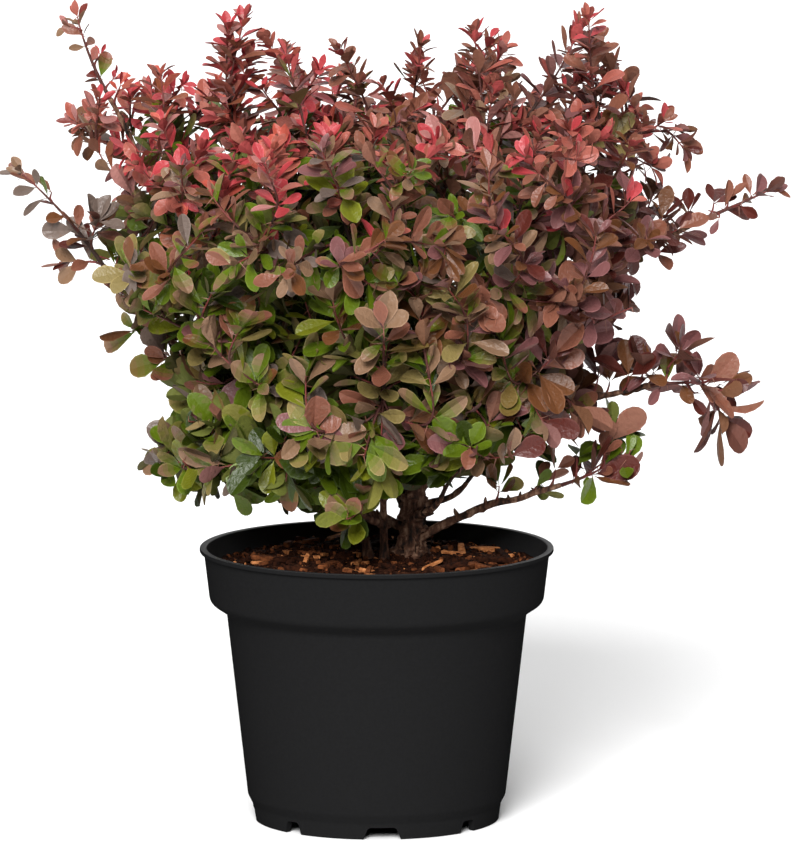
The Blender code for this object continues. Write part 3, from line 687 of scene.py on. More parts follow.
def grow_side_shoots(limb, rng):
    """Short shoots along the outer stretch of a limb, where it shows outside the dense body."""
    spacing, start, rising = SIDE_SHOOT_RULES[limb.name]
    shoots = []
    distance = 0.0
    for before, after in zip(limb.path[2:], limb.path[3:]):
        distance += (after - before).length
        if distance < spacing or abs(after.x) < start:
            continue
        distance = 0.0
        along = (after - before).normalized()
        outwards = random_offset(rng)
        if rising:
            outwards.z = abs(outwards.z)
        outwards = (outwards - along * outwards.dot(along)).normalized()
        heading = (along * 0.8 + outwards).normalized()
        target = after + heading * rng.uniform(*SIDE_SHOOT_LENGTHS)
        leaving = (along + outwards * 0.4).normalized()
        shoots.append(grow_shoot(after, leaving, target, TWIG_RADIUS, limb.mass, free=True))
    return shoots


def young_profile(share):
    """As leaf_profile, for the narrow pointed leaves of a shoot's tip."""
    return max(0.07, math.sin(math.pi * share ** 1.3))


def leaf_profile(share):
    """A leaf's half width at a share of its length, as a share of its greatest half width."""
    if share <= LEAF_PETIOLE:
        return 0.07
    if share >= LEAF_WIDEST:
        return math.sqrt(max(0.0, 1.0 - ((share - LEAF_WIDEST) / (1.0 - LEAF_WIDEST)) ** 2))
    rise = (share - LEAF_PETIOLE) / (LEAF_WIDEST - LEAF_PETIOLE)
    return 0.07 + 0.93 * math.sin(rise * math.pi / 2.0) ** 1.35


def leaf_template():
    """Along, across, underside and face lists that all leaves share."""
    along, across, under = [0.0], [0.0], [0.0]
    for ring in LEAF_RINGS:
        for place in LEAF_ACROSS:
            along.append(ring)
            across.append(place)
            under.append(0.0)
        along.append(ring)
        across.append(0.0)
        under.append(1.0)
    along.append(1.0)
    across.append(0.0)
    under.append(0.0)
    width = len(LEAF_ACROSS)
    stride = width + 1
    faces, slots = [], []
    last = 1 + (len(LEAF_RINGS) - 1) * stride
    tip = len(along) - 1
    for step in range(width - 1):
        faces.append((0, 1 + step + 1, 1 + step))
        slots.append((LEAF_STRIPS[step], 0))
        faces.append((tip, last + step, last + step + 1))
        slots.append((LEAF_STRIPS[step], 3))
    for first, second in ((0, width), (width, width - 1)):
        faces.append((0, 1 + first, 1 + second))
        slots.append(("under", 0))
        faces.append((tip, last + second, last + first))
        slots.append(("under", 3))
    for ring in range(len(LEAF_RINGS) - 1):
        low = 1 + ring * stride
        high = low + stride
        zone = LEAF_ZONES[ring]
        for step in range(width - 1):
            faces.append((low + step, low + step + 1, high + step + 1, high + step))
            slots.append((LEAF_STRIPS[step], zone))
        for first, second in ((0, width), (width, width - 1)):
            faces.append((low + second, low + first, high + first, high + second))
            slots.append(("under", zone))
    return np.array(along), np.array(across), np.array(under), faces, slots


LEAF_ALONG, LEAF_SIDE, LEAF_UNDER, LEAF_FACES, LEAF_SLOTS = leaf_template()
LEAF_HALF = np.array([leaf_profile(share) for share in LEAF_ALONG])
YOUNG_HALF = np.array([young_profile(share) for share in LEAF_ALONG])

# Leaf colours: the blade of each tint
TINTS = {
    "crimson": (0.308, 0.034, 0.039),
    "coral": (0.345, 0.066, 0.044),
    "rose": (0.262, 0.070, 0.050),
    "blush": (0.285, 0.116, 0.104),
    "russet": (0.200, 0.058, 0.027),
    "wine": (0.126, 0.024, 0.018),
    "mauve": (0.156, 0.056, 0.034),
    "plum": (0.132, 0.050, 0.049),
    "dusty": (0.164, 0.094, 0.054),
    "taupe": (0.162, 0.122, 0.041),
    "slate": (0.114, 0.082, 0.067),
    "brown": (0.102, 0.037, 0.013),
    "maroon": (0.066, 0.013, 0.009),
    "bronze": (0.118, 0.076, 0.020),
    "olive": (0.104, 0.112, 0.006),
    "green": (0.066, 0.098, 0.004),
    "lime": (0.145, 0.185, 0.007),
    # deep: a near-black green, painted shade for leaves inside and under the crown
    "deep": (0.020, 0.033, 0.001),
}
GREEN_FOOTED = ("dusty", "taupe", "mauve", "brown", "bronze")
for tip_name in GREEN_FOOTED:
    for step_name, share in (("low", 1.0 / 3.0), ("high", 2.0 / 3.0)):
        TINTS[f"{tip_name}_{step_name}"] = tuple(
            foot + (tip - foot) * share for foot, tip in zip(TINTS["green"], TINTS[tip_name]))
TINT_NAMES = list(TINTS)
TINT_PARTS = ("blade", "rim", "under")
PALE_UNDERSIDE = (0.200, 0.112, 0.075)


def leaf_slot(tint, part):
    return TINT_NAMES.index(tint) * len(TINT_PARTS) + TINT_PARTS.index(part)


class Leaf:
    """Where one leaf grows, which way it points and faces, its size, its bends and its tints."""

    def __init__(self, place, heading, face, length, width, young, bend, cup, twist, tints):
        self.place = place
        self.heading = heading
        self.face = face
        self.length = length
        self.width = width
        self.young = young
        self.bend = bend
        self.cup = cup
        self.twist = twist
        self.tints = tints

    def points(self):
        side = self.heading.cross(self.face).normalized()
        face = side.cross(self.heading).normalized()
        bend = self.bend if abs(self.bend) > 1e-3 else 1e-3
        turn = LEAF_ALONG * bend
        forward = self.length * np.sin(turn) / bend
        rise = self.length * (1.0 - np.cos(turn)) / bend
        half = (LEAF_HALF + (YOUNG_HALF - LEAF_HALF) * 0.65 * self.young) * (self.width / 2.0)
        aside = -LEAF_SIDE * half * np.cos(LEAF_ALONG * self.twist)
        rise = rise + self.cup * half * np.abs(LEAF_SIDE) - LEAF_UNDER * LEAF_THICKNESS
        rise = rise + LEAF_SIDE * half * np.sin(LEAF_ALONG * self.twist)
        return (np.array(self.place) + np.outer(forward, np.array(self.heading))
                + np.outer(aside, np.array(side)) + np.outer(rise, np.array(face)))

    def slots(self):
        return [leaf_slot(self.tints[zone], part) for part, zone in LEAF_SLOTS]


def crown_height(place):
    """A place's height in the crown: 0 at its foot and 1 at its top."""
    return (place.z - CROWN_FOOT) / (CROWN_TOP - CROWN_FOOT)


def exposure(place):
    """1 at the crown's outside, falling to 0 deep within it. Where it is low, leaf_tints picks darker tints: painted
    shade.
    """
    away = math.hypot(place.x - graded(place.z, BODY_AXIS), place.y / BODY_DEPTH)
    depth = min(graded(place.z, BODY_EDGE) - away, LEAF_TOP - place.z)
    return 1.0 - min(1.0, max(0.0, depth / SHADE_DEPTH))


def pick(rng, choices):
    """One of the named choices, by weight."""
    total = sum(weight for _, weight in choices)
    place = rng.uniform(0.0, total)
    for name, weight in choices:
        place -= weight
        if place <= 0.0:
            return name
    return choices[-1][0]


# The tints of each band of the colour index, from the crown's inside to its outer tips. The inner bands are partly the
# real green of shaded leaves and partly painted shade: their dark tints, deep above all, darken the leaves deep inside
# the crown
INNER_TINTS = (("deep", 0.50), ("green", 0.32), ("olive", 0.10), ("brown", 0.08))
RIGHT_INNER_TINTS = (("maroon", 0.38), ("brown", 0.26), ("wine", 0.14), ("deep", 0.14), ("bronze", 0.08))
TOP_INNER_TINTS = (("wine", 0.30), ("brown", 0.24), ("russet", 0.18), ("maroon", 0.12), ("bronze", 0.10), ("green", 0.06))
LOW_TINTS = (("green", 0.34), ("deep", 0.12), ("olive", 0.06), ("taupe", 0.18), ("dusty", 0.18), ("slate", 0.12))
LOW_LEFT_TINTS = (("taupe", 0.26), ("dusty", 0.26), ("slate", 0.20), ("plum", 0.12), ("green", 0.16))
MIXED_TINTS = (("taupe", 0.14), ("bronze", 0.08), ("dusty", 0.26), ("mauve", 0.20), ("brown", 0.14), ("plum", 0.10),
               ("green", 0.08))
MAUVE_TINTS = (("mauve", 0.36), ("dusty", 0.18), ("plum", 0.18), ("brown", 0.22), ("slate", 0.06))
MAUVE_RIGHT_TINTS = (("mauve", 0.32), ("brown", 0.18), ("maroon", 0.24), ("plum", 0.26))
TOP_TINTS = (("rose", 0.26), ("mauve", 0.38), ("wine", 0.16), ("dusty", 0.10), ("blush", 0.10))
TOP_LEFT_TINTS = (("rose", 0.32), ("russet", 0.14), ("mauve", 0.14), ("crimson", 0.22), ("wine", 0.08), ("blush", 0.10))
TOP_RIGHT_TINTS = (("maroon", 0.12), ("wine", 0.18), ("mauve", 0.36), ("rose", 0.18), ("plum", 0.16))
YOUNG_TINTS = (("crimson", 0.34), ("rose", 0.34), ("mauve", 0.20), ("blush", 0.12))
YOUNG_LEFT_TINTS = (("crimson", 0.48), ("coral", 0.18), ("rose", 0.26), ("blush", 0.08))
YOUNG_RIGHT_TINTS = (("crimson", 0.26), ("rose", 0.34), ("wine", 0.18), ("mauve", 0.22))
FAR_RIGHT = 0.150
SPRAYS_TOP = 0.372
FAR_LEFT = -0.148
FAR_LEFT_TINTS = (("mauve", 0.26), ("dusty", 0.18), ("brown", 0.24), ("slate", 0.18), ("green", 0.06), ("maroon", 0.08))
TOP_SPRAY_TINTS = (("mauve", 0.40), ("rose", 0.22), ("dusty", 0.12), ("wine", 0.14), ("blush", 0.12))
LOW_RIGHT_TINTS = (("mauve", 0.24), ("brown", 0.24), ("maroon", 0.14), ("green", 0.24), ("deep", 0.06), ("olive", 0.08))
LOW_RIGHT_EDGE = 0.085
LOW_RIGHT_TOP = 0.214
HANGING_TINTS = (("green", 0.42), ("deep", 0.14), ("olive", 0.10), ("brown", 0.16), ("mauve", 0.18))
HANGING_TOP = 0.178
FAR_RIGHT_TINTS = (("maroon", 0.42), ("brown", 0.12), ("mauve", 0.18), ("plum", 0.28))
LEFT_EDGE = -0.020
RIGHT_EDGE = 0.080
LOW_HEIGHT = 0.40
YOUNG_RANKS = 3
YOUNG_HEIGHT = 0.72


def tip_tint(colour, place, rank, shoot, rng):
    """The tint of a leaf's tip, for its colour index, its side of the crown and its rank."""
    left = place.x < LEFT_EDGE
    right = place.x > RIGHT_EDGE
    height = crown_height(place) + (0.3 if right else 0.6) * shoot.warmth
    if place.x > FAR_RIGHT and place.z < SPRAYS_TOP:
        return pick(rng, FAR_RIGHT_TINTS)
    if place.x < FAR_LEFT:
        return pick(rng, FAR_LEFT_TINTS if place.z < SPRAYS_TOP else TOP_SPRAY_TINTS)
    if place.z < HANGING_TOP:
        return pick(rng, HANGING_TINTS)
    if place.x > LOW_RIGHT_EDGE and place.z < LOW_RIGHT_TOP:
        return pick(rng, LOW_RIGHT_TINTS)
    if height > YOUNG_HEIGHT:
        # Low colour index at the top: darker inner tints, painted shade inside the crown
        if colour < 0.85:
            return pick(rng, TOP_INNER_TINTS)
        if rank < YOUNG_RANKS and colour > 1.05:
            return pick(rng, YOUNG_LEFT_TINTS if left else YOUNG_RIGHT_TINTS if right else YOUNG_TINTS)
        return pick(rng, TOP_LEFT_TINTS if left else TOP_RIGHT_TINTS if right else TOP_TINTS)
    # Low colour index: the inner tints, leaves darkened as painted shade deep in the crown
    if colour < 0.62:
        return pick(rng, RIGHT_INNER_TINTS if right else INNER_TINTS)
    if left and height < LOW_HEIGHT and colour > 0.80:
        return pick(rng, LOW_LEFT_TINTS)
    if colour < 0.90:
        return pick(rng, LOW_TINTS)
    if colour < 1.10:
        return pick(rng, MIXED_TINTS)
    return pick(rng, MAUVE_RIGHT_TINTS if right else MAUVE_TINTS)


def leaf_tints(place, rank, shoot, rng):
    """A leaf's tints from foot to tip: one all along, or green at the foot and turning to the tip's."""
    side = min(1.0, max(0.0, (place.x + 0.06) / 0.16))
    # The colour index falls with depth in the crown, so inner leaves take darker tints: painted shade
    colour = (0.95 * crown_height(place) + 0.70 * exposure(place) + 0.40 * side + shoot.warmth
              - 0.045 * rank + rng.gauss(0.0, 0.10))
    tip = tip_tint(colour, place, rank, shoot, rng)
    turning = 1.60 - colour - 0.25 * side - (0.55 if place.x < FAR_LEFT else 0.0)
    if tip not in GREEN_FOOTED or rng.random() > turning:
        return tip, tip, tip, tip
    return "green", f"{tip}_low", f"{tip}_high", tip


def leaf_fits(tip, shoot, rng):
    """Whether a leaf's tip stays inside the outline that its shoot keeps to."""
    if shoot.free:
        return True
    if shoot.mass.spray:
        return in_spray(tip, shoot.mass, SPRAY_LEAF_ROOM)
    return in_body(tip, rng.uniform(*LEAF_PROUD), LEAF_TOP)


def add_rosette(leaves, place, along, side, across, rank, shoot, rng):
    """The short spur at one node, with its spread of leaves of several sizes."""
    out = exposure(place)
    count = rng.choice((2, 3, 3)) if out < 0.25 else rng.choice((3, 4, 4, 5))
    if rank == 0:
        count = rng.choice((4, 5, 6))
    if shoot.mass.spray:
        count = rng.choice((3, 4)) if rank == 0 else rng.choice((2, 2, 3))
    turn = rng.uniform(0.0, 2.0 * math.pi)
    outside = (place - CROWN_MIDDLE).normalized()
    shared = leaf_tints(place, rank, shoot, rng)
    for number in range(count):
        angle = turn + 2.4 * number + rng.uniform(-0.35, 0.35)
        outwards = side * math.cos(angle) + across * math.sin(angle)
        young = max(0.0, 1.0 - rank / YOUNG_NODES) * min(1.0, max(0.0, 2.0 * crown_height(place) - 0.6))
        tilt = math.radians(rng.uniform(28.0, 58.0) if rank < 2 else rng.uniform(42.0, 88.0))
        heading = (along * math.cos(tilt) + outwards * math.sin(tilt)
                   + UP * rng.uniform(-0.12, 0.22)).normalized()
        face = along * 0.8 + UP * 0.6 + outside * 0.55 - outwards * 0.5 + random_offset(rng) * 0.28
        if shoot.mass.spray:
            face = along * 0.3 + UP * 0.5 - outwards * 0.3 + random_offset(rng) * 0.5 + SPRAY_FACE
        face = face - heading * face.dot(heading)
        if face.length < 0.15:
            face = heading.orthogonal()
        size = shoot.mass.leaf * (1.0 - 0.42 * young) * rng.uniform(0.64, 1.18)
        size *= LEAF_SIZE_FOOT + (LEAF_SIZE_TOP - LEAF_SIZE_FOOT) * crown_height(place)
        length = LEAF_LENGTH * size
        width = length * rng.uniform(0.41, 0.58) * (1.0 - 0.12 * young)
        tip = place + heading * length
        if not leaf_fits(tip, shoot, rng):
            continue
        tints = shared if rng.random() < ROSETTE_SHARE else leaf_tints(tip, rank, shoot, rng)
        leaves.append(Leaf(place + along * rng.uniform(-0.0006, 0.0006), heading, face.normalized(), length,
                           width, young, rng.uniform(-0.70, 0.45), rng.uniform(0.05, 0.50),
                           rng.uniform(-0.5, 0.5), tints))


def add_spine(spines, place, along, outwards, rng):
    """One thin thorn under a node."""
    heading = (outwards + along * rng.uniform(-0.5, 0.1) - UP * 0.15).normalized()
    length = rng.uniform(0.0045, 0.0090)
    side = heading.orthogonal().normalized()
    across = heading.cross(side)
    radius = 0.00030
    points = [place + (side * math.cos(angle) + across * math.sin(angle)) * radius
              for angle in (0.0, 2.0 * math.pi / 3.0, 4.0 * math.pi / 3.0)]
    points.append(place + heading * length)
    spines.add(points, [(0, 1, 3), (1, 2, 3), (2, 0, 3), (2, 1, 0)], [0, 0, 0, 0])


def dress_shoot(shoot, leaves, spines, limbs_near, rng):
    """Rosettes and spines at the nodes of one shoot, from its tip down to its bare foot."""
    path = shoot.path
    frames = frames_along(path)
    lengths = [(after - before).length for before, after in zip(path, path[1:])]
    total = sum(lengths)
    distance = 0.0
    rank = 0
    while total - distance > BARE_FOOT:
        left = total - distance
        number = 0
        while number < len(lengths) - 1 and left > lengths[number]:
            left -= lengths[number]
            number += 1
        along, side, across = frames[number]
        place = path[number] + (path[number + 1] - path[number]) * (left / max(lengths[number], 1e-6))
        near = limbs_near.find(place)[2]
        if near > 0.006:
            add_rosette(leaves, place, along, side, across, rank, shoot, rng)
            angle = rng.uniform(0.0, 2.0 * math.pi)
            add_spine(spines, place, along, side * math.cos(angle) + across * math.sin(angle), rng)
        gather = 0.48 + 0.52 * min(1.0, rank / 4.0)
        distance += NODE_SPACING * (1.25 - 0.30 * crown_height(place)) * gather * rng.uniform(0.8, 1.2)
        rank += 1


def twig_slot(distance_to_tip, shoot, rng):
    """Young red bark near exposed tips, then red-brown, then brown."""
    if distance_to_tip < 0.016:
        return 2
    return 1 if distance_to_tip < 0.045 else 0


def add_twig(twigs, shoot, rng):
    path = shoot.path
    last = len(path) - 1
    radii = [shoot.foot_radius + (TWIG_TIP_RADIUS - shoot.foot_radius) * number / last
             for number in range(last + 1)]
    points, faces = tube_arrays(path, radii, TWIG_SIDES)
    slots = []
    length = sum((after - before).length for before, after in zip(path, path[1:]))
    for ring in range(last):
        slots += [twig_slot(length * (1.0 - ring / last), shoot, rng)] * TWIG_SIDES
    slots += [0, 2] * TWIG_SIDES
    twigs.add(points, faces, slots)


def bark_relief(turns, depth):
    """Heights for a tube's bark: fissures that run along it, grain and knots."""

    def relief(number, angle, place, radius):
        around = Vector((math.cos(angle) * 2.4, math.sin(angle) * 2.4, number * FISSURE_STEP + turns))
        fissure = abs(noise.noise(around)) * 2.0 - 0.5
        grain = noise.noise(place * BARK_GRAIN)
        knot = max(0.0, noise.noise(place * BARK_KNOTS) - 0.22)
        return radius * (depth * (fissure + 0.5 * grain) + KNOT_HEIGHT * knot)

    return relief


def crooked(path, rng):
    """The path with the small bends of old wood, none at its two ends."""
    turn = random_offset(rng) * 10.0
    last = len(path) - 1
    bent = []
    for number, point in enumerate(path):
        ease = math.sin(math.pi * number / last)
        bent.append(point + noise.noise_vector(point * BEND_SCALE + turn) * (BEND_REACH * ease))
    return bent


def add_spurs(parts, path, radii, spacing, rng):
    """Short dead spurs along a limb, each on a knot."""
    distance = 0.0
    for number in range(2, len(path) - 2):
        distance += (path[number] - path[number - 1]).length
        if distance < spacing * rng.uniform(0.7, 1.3):
            continue
        distance = 0.0
        along = (path[number + 1] - path[number]).normalized()
        outwards = random_offset(rng) + UP * 0.5
        outwards = (outwards - along * outwards.dot(along)).normalized()
        heading = (outwards + along * rng.uniform(-0.2, 0.6)).normalized()
        radius = radii[number]
        length = radius + rng.uniform(*SPUR_LENGTHS)
        steps = [path[number] + heading * length * share + random_offset(rng) * 0.0003 for share in (0.0, 0.35, 0.7, 1.0)]
        points, faces = tube_arrays(steps, [radius * 0.80, radius * 0.68, radius * 0.50, radius * 0.26], 7)
        parts.add(points, faces, [0] * len(faces))


def make_bark(limbs, material):
    """The trunk, stems and boughs with the relief of their bark, as one piece."""
    parts = MeshParts()
    path = trunk_path(TRUNK_RINGS)
    foot_height = path[0].z
    rise = path[-1].z - foot_height
    fissures = bark_relief(3.0, 0.34)

    def trunk_relief(number, angle, place, radius):
        lobe = 1.0 - FLARE_LOBE_DEPTH + FLARE_LOBE_DEPTH * math.cos(FLARE_LOBES * angle + FLARE_TURN)
        drop = math.exp((foot_height - path[number].z) / FLARE_HEIGHT)
        return FLARE_REACH * lobe * drop + fissures(number, angle, place, radius)

    radii = [TRUNK_FOOT_RADIUS + (point.z - foot_height) / rise * (TRUNK_FORK_RADIUS - TRUNK_FOOT_RADIUS)
             for point in path]
    path[0] = path[0] - UP * ROOTED
    points, faces = tube_arrays(path, radii, TRUNK_SIDES, trunk_relief)
    parts.add(points, faces, [0] * len(faces))
    for number, limb in enumerate(limbs):
        rng = random.Random(number)
        path = crooked(limb.path, rng)
        last = len(path) - 1
        radii = [limb.radius(step / last) for step in range(last + 1)]
        for step in range(COLLAR_STEPS):
            radii[step] *= 1.0 + COLLAR * (1.0 - step / COLLAR_STEPS)
        if limb.parent == "soil":
            path[0] = path[0] - UP * ROOTED
        points, faces = tube_arrays(path, radii, LIMB_SIDES, bark_relief(11.0 * number, 0.24))
        parts.add(points, faces, [0] * len(faces))
        add_spurs(parts, path, radii, SPUR_SPACING[limb.name == "bough_low_right"], rng)
    return parts.make("bark_limbs", [material], 60.0)


def rounded(profile, corner, before, after, radius):
    """Adds the points of a rounded corner to a profile."""
    corner, before, after = Vector(corner), Vector(before), Vector(after)
    start = corner + (before - corner).normalized() * radius
    end = corner + (after - corner).normalized() * radius
    for step in range(ROUND_STEPS + 1):
        t = step / ROUND_STEPS
        s = 1.0 - t
        point = start * s * s + corner * 2.0 * s * t + end * t * t
        profile.append((point.x, point.y))


def turned(name, profile, segments):
    """A closed solid turned round the pot's axis from (radius, height) points."""
    shape = bmesh.new()
    rings = []
    for radius, height in profile:
        if radius == 0.0:
            rings.append([shape.verts.new((0.0, 0.0, height))])
            continue
        ring = []
        for step in range(segments):
            angle = 2.0 * math.pi * step / segments
            ring.append(shape.verts.new((radius * math.cos(angle), radius * math.sin(angle), height)))
        rings.append(ring)
    for lower, upper in zip(rings, rings[1:]):
        for step in range(segments):
            following = (step + 1) % segments
            if len(lower) == 1:
                corners = (lower[0], upper[following], upper[step])
            elif len(upper) == 1:
                corners = (lower[step], lower[following], upper[0])
            else:
                corners = (lower[step], lower[following], upper[following], upper[step])
            shape.faces.new(corners)
    mesh = bpy.data.meshes.new(name)
    shape.to_mesh(mesh)
    shape.free()
    item = bpy.data.objects.new(name, mesh)
    item.location = POT_AXIS
    bpy.context.scene.collection.objects.link(item)
    return item


def inner_radius(height):
    """The pot's inside radius at a height between its floor and its band's top."""
    shoulder = BODY_TOP_HEIGHT + POT_WALL
    if height < shoulder:
        along = (height - BODY_FOOT_HEIGHT) / (BODY_TOP_HEIGHT - BODY_FOOT_HEIGHT)
        return BODY_FOOT_RADIUS + along * (BODY_TOP_RADIUS - BODY_FOOT_RADIUS) - POT_WALL
    band_top = POT_HEIGHT - LIP_HEIGHT
    along = (height - BAND_FOOT_HEIGHT) / (band_top - BAND_FOOT_HEIGHT)
    return BAND_FOOT_RADIUS + along * (BAND_TOP_RADIUS - BAND_FOOT_RADIUS) - POT_WALL


def pot_profile():
    band_top = POT_HEIGHT - LIP_HEIGHT
    floor_top = FLOOR_HEIGHT + FLOOR_THICKNESS
    corners = [
        (0.0, FLOOR_HEIGHT, 0.0),
        (BASE_RADIUS - FOOT_WIDTH, FLOOR_HEIGHT, 0.0006),
        (BASE_RADIUS - FOOT_WIDTH, 0.0, 0.0005),
        (BASE_RADIUS, 0.0, 0.0008),
        (STEP_RADIUS, STEP_HEIGHT, 0.0009),
        (BODY_FOOT_RADIUS, BODY_FOOT_HEIGHT, 0.0012),
        (BODY_TOP_RADIUS, BODY_TOP_HEIGHT, 0.0022),
        (BAND_FOOT_RADIUS, BAND_FOOT_HEIGHT - 0.0010, 0.0026),
        (BAND_TOP_RADIUS, band_top, 0.0006),
        (LIP_RADIUS, band_top, 0.0006),
        (LIP_RADIUS, POT_HEIGHT, 0.0008),
        (BAND_TOP_RADIUS - POT_WALL, POT_HEIGHT, 0.0009),
        (inner_radius(BAND_FOOT_HEIGHT), BAND_FOOT_HEIGHT, 0.0015),
        (inner_radius(BODY_TOP_HEIGHT), BODY_TOP_HEIGHT + POT_WALL, 0.0015),
        (inner_radius(BODY_FOOT_HEIGHT), BODY_FOOT_HEIGHT, 0.0012),
        (STEP_RADIUS - POT_WALL, floor_top, 0.0),
        (0.0, floor_top, 0.0),
    ]
    profile = []
    for number, (radius, height, rounding) in enumerate(corners):
        if rounding == 0.0:
            profile.append((radius, height))
            continue
        rounded(profile, (radius, height), corners[number - 1][:2], corners[number + 1][:2], rounding)
    return profile


def make_pot(materials):
    pot = turned("nursery_pot", pot_profile(), POT_SEGMENTS)
    shape = bmesh.new()
    ring_radius = BASE_RADIUS - FOOT_WIDTH / 2.0
    for number in range(NOTCH_COUNT):
        angle = -math.pi / 2.0 + NOTCH_TURN + 2.0 * math.pi * number / NOTCH_COUNT
        width = WIDE_NOTCH if number % 2 == 0 else NARROW_NOTCH
        turn = Matrix.Rotation(angle, 4, "Z")
        place = Matrix.Translation((ring_radius, 0.0, (NOTCH_HEIGHT - CUT_OVERRUN) / 2.0))
        size = Matrix.Diagonal((FOOT_WIDTH + 2.0 * CUT_OVERRUN, width, NOTCH_HEIGHT + CUT_OVERRUN, 1.0))
        cube = bmesh.ops.create_cube(shape, size=1.0)
        for corner in cube["verts"]:
            if corner.co.z > 0.0:
                corner.co.y *= NOTCH_TAPER
            corner.co = turn @ place @ size @ corner.co
    mesh = bpy.data.meshes.new("notches")
    shape.to_mesh(mesh)
    shape.free()
    cutter = bpy.data.objects.new("notches", mesh)
    cutter.location = POT_AXIS
    bpy.context.scene.collection.objects.link(cutter)
    bevel = cutter.modifiers.new("round", "BEVEL")
    bevel.width = NOTCH_ROUNDING
    bevel.segments = 3
    modifier = pot.modifiers.new("notches", "BOOLEAN")
    modifier.operation = "DIFFERENCE"
    modifier.object = cutter
    depsgraph = bpy.context.evaluated_depsgraph_get()
    made = bpy.data.meshes.new_from_object(pot.evaluated_get(depsgraph))
    pot.modifiers.clear()
    pot.data = made
    bpy.data.objects.remove(cutter, do_unlink=True)
    made.materials.clear()
    for material in materials:
        made.materials.append(material)
    # Slot 1, the lighter plastic, paints light on the band's inner wall and a highlight on upward faces such as the
    # lip's and shoulder's tops
    for face in made.polygons:
        away = Vector((face.center.x, face.center.y, 0.0))
        inside = face.normal.dot(away) < 0.0 and face.center.z > BAND_FOOT_HEIGHT
        face.material_index = 1 if inside or face.normal.z > 0.8 else 0
    made.shade_smooth()
    made.set_sharp_from_angle(angle=math.radians(40.0))
    return pot


SOIL_EDGE_HEIGHT = 0.1370
SOIL_FLAT_RADIUS = 0.0500
SOIL_RINGS = 90
SOIL_SEGMENTS = 220


def soil_height(radius):
    edge = inner_radius(SOIL_EDGE_HEIGHT) - GAP
    if radius <= SOIL_FLAT_RADIUS:
        return SOIL_TOP
    along = min(1.0, (edge - radius) / (edge - SOIL_FLAT_RADIUS))
    return SOIL_EDGE_HEIGHT + (0.5 - 0.5 * math.cos(math.pi * along)) * (SOIL_TOP - SOIL_EDGE_HEIGHT)


def soil_surface(x, y):
    """The soil's height with its lumps and crumbs."""
    radius = math.hypot(x, y)
    place = Vector((x, y, 0.0))
    lumps = noise.noise(place * 90.0) * 0.0014 + noise.noise(place * 260.0) * 0.0011
    crumbs = abs(noise.noise(place * 620.0)) * 0.0011
    return soil_height(radius) + lumps - crumbs


def make_soil(material):
    """The root ball, with a lumpy top."""
    edge = inner_radius(SOIL_EDGE_HEIGHT) - GAP
    parts = MeshParts()
    points = [Vector((0.0, 0.0, soil_surface(0.0, 0.0)))]
    faces = []
    for ring in range(1, SOIL_RINGS + 1):
        radius = edge * ring / SOIL_RINGS
        for step in range(SOIL_SEGMENTS):
            angle = 2.0 * math.pi * step / SOIL_SEGMENTS
            x, y = radius * math.cos(angle), radius * math.sin(angle)
            points.append(Vector((x, y, soil_surface(x, y))))
    bottom = FLOOR_HEIGHT + FLOOR_THICKNESS + GAP
    shoulder = BODY_TOP_HEIGHT + POT_WALL
    sides = [
        (inner_radius(BAND_FOOT_HEIGHT) - 2.0 * GAP, BAND_FOOT_HEIGHT + GAP),
        (inner_radius(shoulder - GAP) - GAP, shoulder + GAP),
        (inner_radius(BODY_FOOT_HEIGHT) - GAP, BODY_FOOT_HEIGHT + GAP),
        (STEP_RADIUS - POT_WALL - 2.0 * GAP, bottom),
    ]
    for radius, height in sides:
        for step in range(SOIL_SEGMENTS):
            angle = 2.0 * math.pi * step / SOIL_SEGMENTS
            points.append(Vector((radius * math.cos(angle), radius * math.sin(angle), height)))
    under = len(points)
    points.append(Vector((0.0, 0.0, bottom)))
    for step in range(SOIL_SEGMENTS):
        following = (step + 1) % SOIL_SEGMENTS
        faces.append((0, 1 + step, 1 + following))
    rings = SOIL_RINGS + len(sides)
    for ring in range(rings - 1):
        low = 1 + ring * SOIL_SEGMENTS
        high = low + SOIL_SEGMENTS
        for step in range(SOIL_SEGMENTS):
            following = (step + 1) % SOIL_SEGMENTS
            faces.append((low + step, high + step, high + following, low + following))
    last = 1 + (rings - 1) * SOIL_SEGMENTS
    for step in range(SOIL_SEGMENTS):
        faces.append((under, last + (step + 1) % SOIL_SEGMENTS, last + step))
    parts.add(points, faces, [0] * len(faces))
    return parts.make("soil_top", [material])


def add_chip(parts, place, length, width, height, turn, tip, slot, rng):
    """A splinter of bark: an irregular slab with chamfered edges."""
    matrix = Matrix.Translation(place) @ Matrix.Rotation(turn, 4, "Z") @ Matrix.Rotation(tip, 4, "Y")
    outline = []
    sides = 8
    for step in range(sides):
        angle = 2.0 * math.pi * (step + 0.5) / sides
        reach = rng.uniform(0.66, 1.0)
        outline.append((math.copysign(abs(math.cos(angle)) ** 0.45, math.cos(angle)) * length / 2.0 * reach,
                        math.copysign(abs(math.sin(angle)) ** 0.45, math.sin(angle)) * width / 2.0 * reach))
    points = []
    for level, shrink in ((-0.5, 0.92), (-0.25, 1.0), (0.25, 1.0), (0.5, 0.90)):
        for x, y in outline:
            jitter = rng.uniform(-0.10, 0.10) * height
            points.append(matrix @ Vector((x * shrink, y * shrink, level * height + jitter)))
    faces = []
    for ring in range(3):
        low = ring * sides
        for step in range(sides):
            following = (step + 1) % sides
            faces.append((low + step, low + following, low + sides + following, low + sides + step))
    faces.append(tuple(range(sides))[::-1])
    faces.append(tuple(range(3 * sides, 4 * sides)))
    parts.add(points, faces, [slot] * len(faces))


CHIP_COUNT = 100
FIBRE_COUNT = 1500
CHIP_LENGTHS = (0.006, 0.026)
FIBRE_LENGTHS = (0.0015, 0.0065)


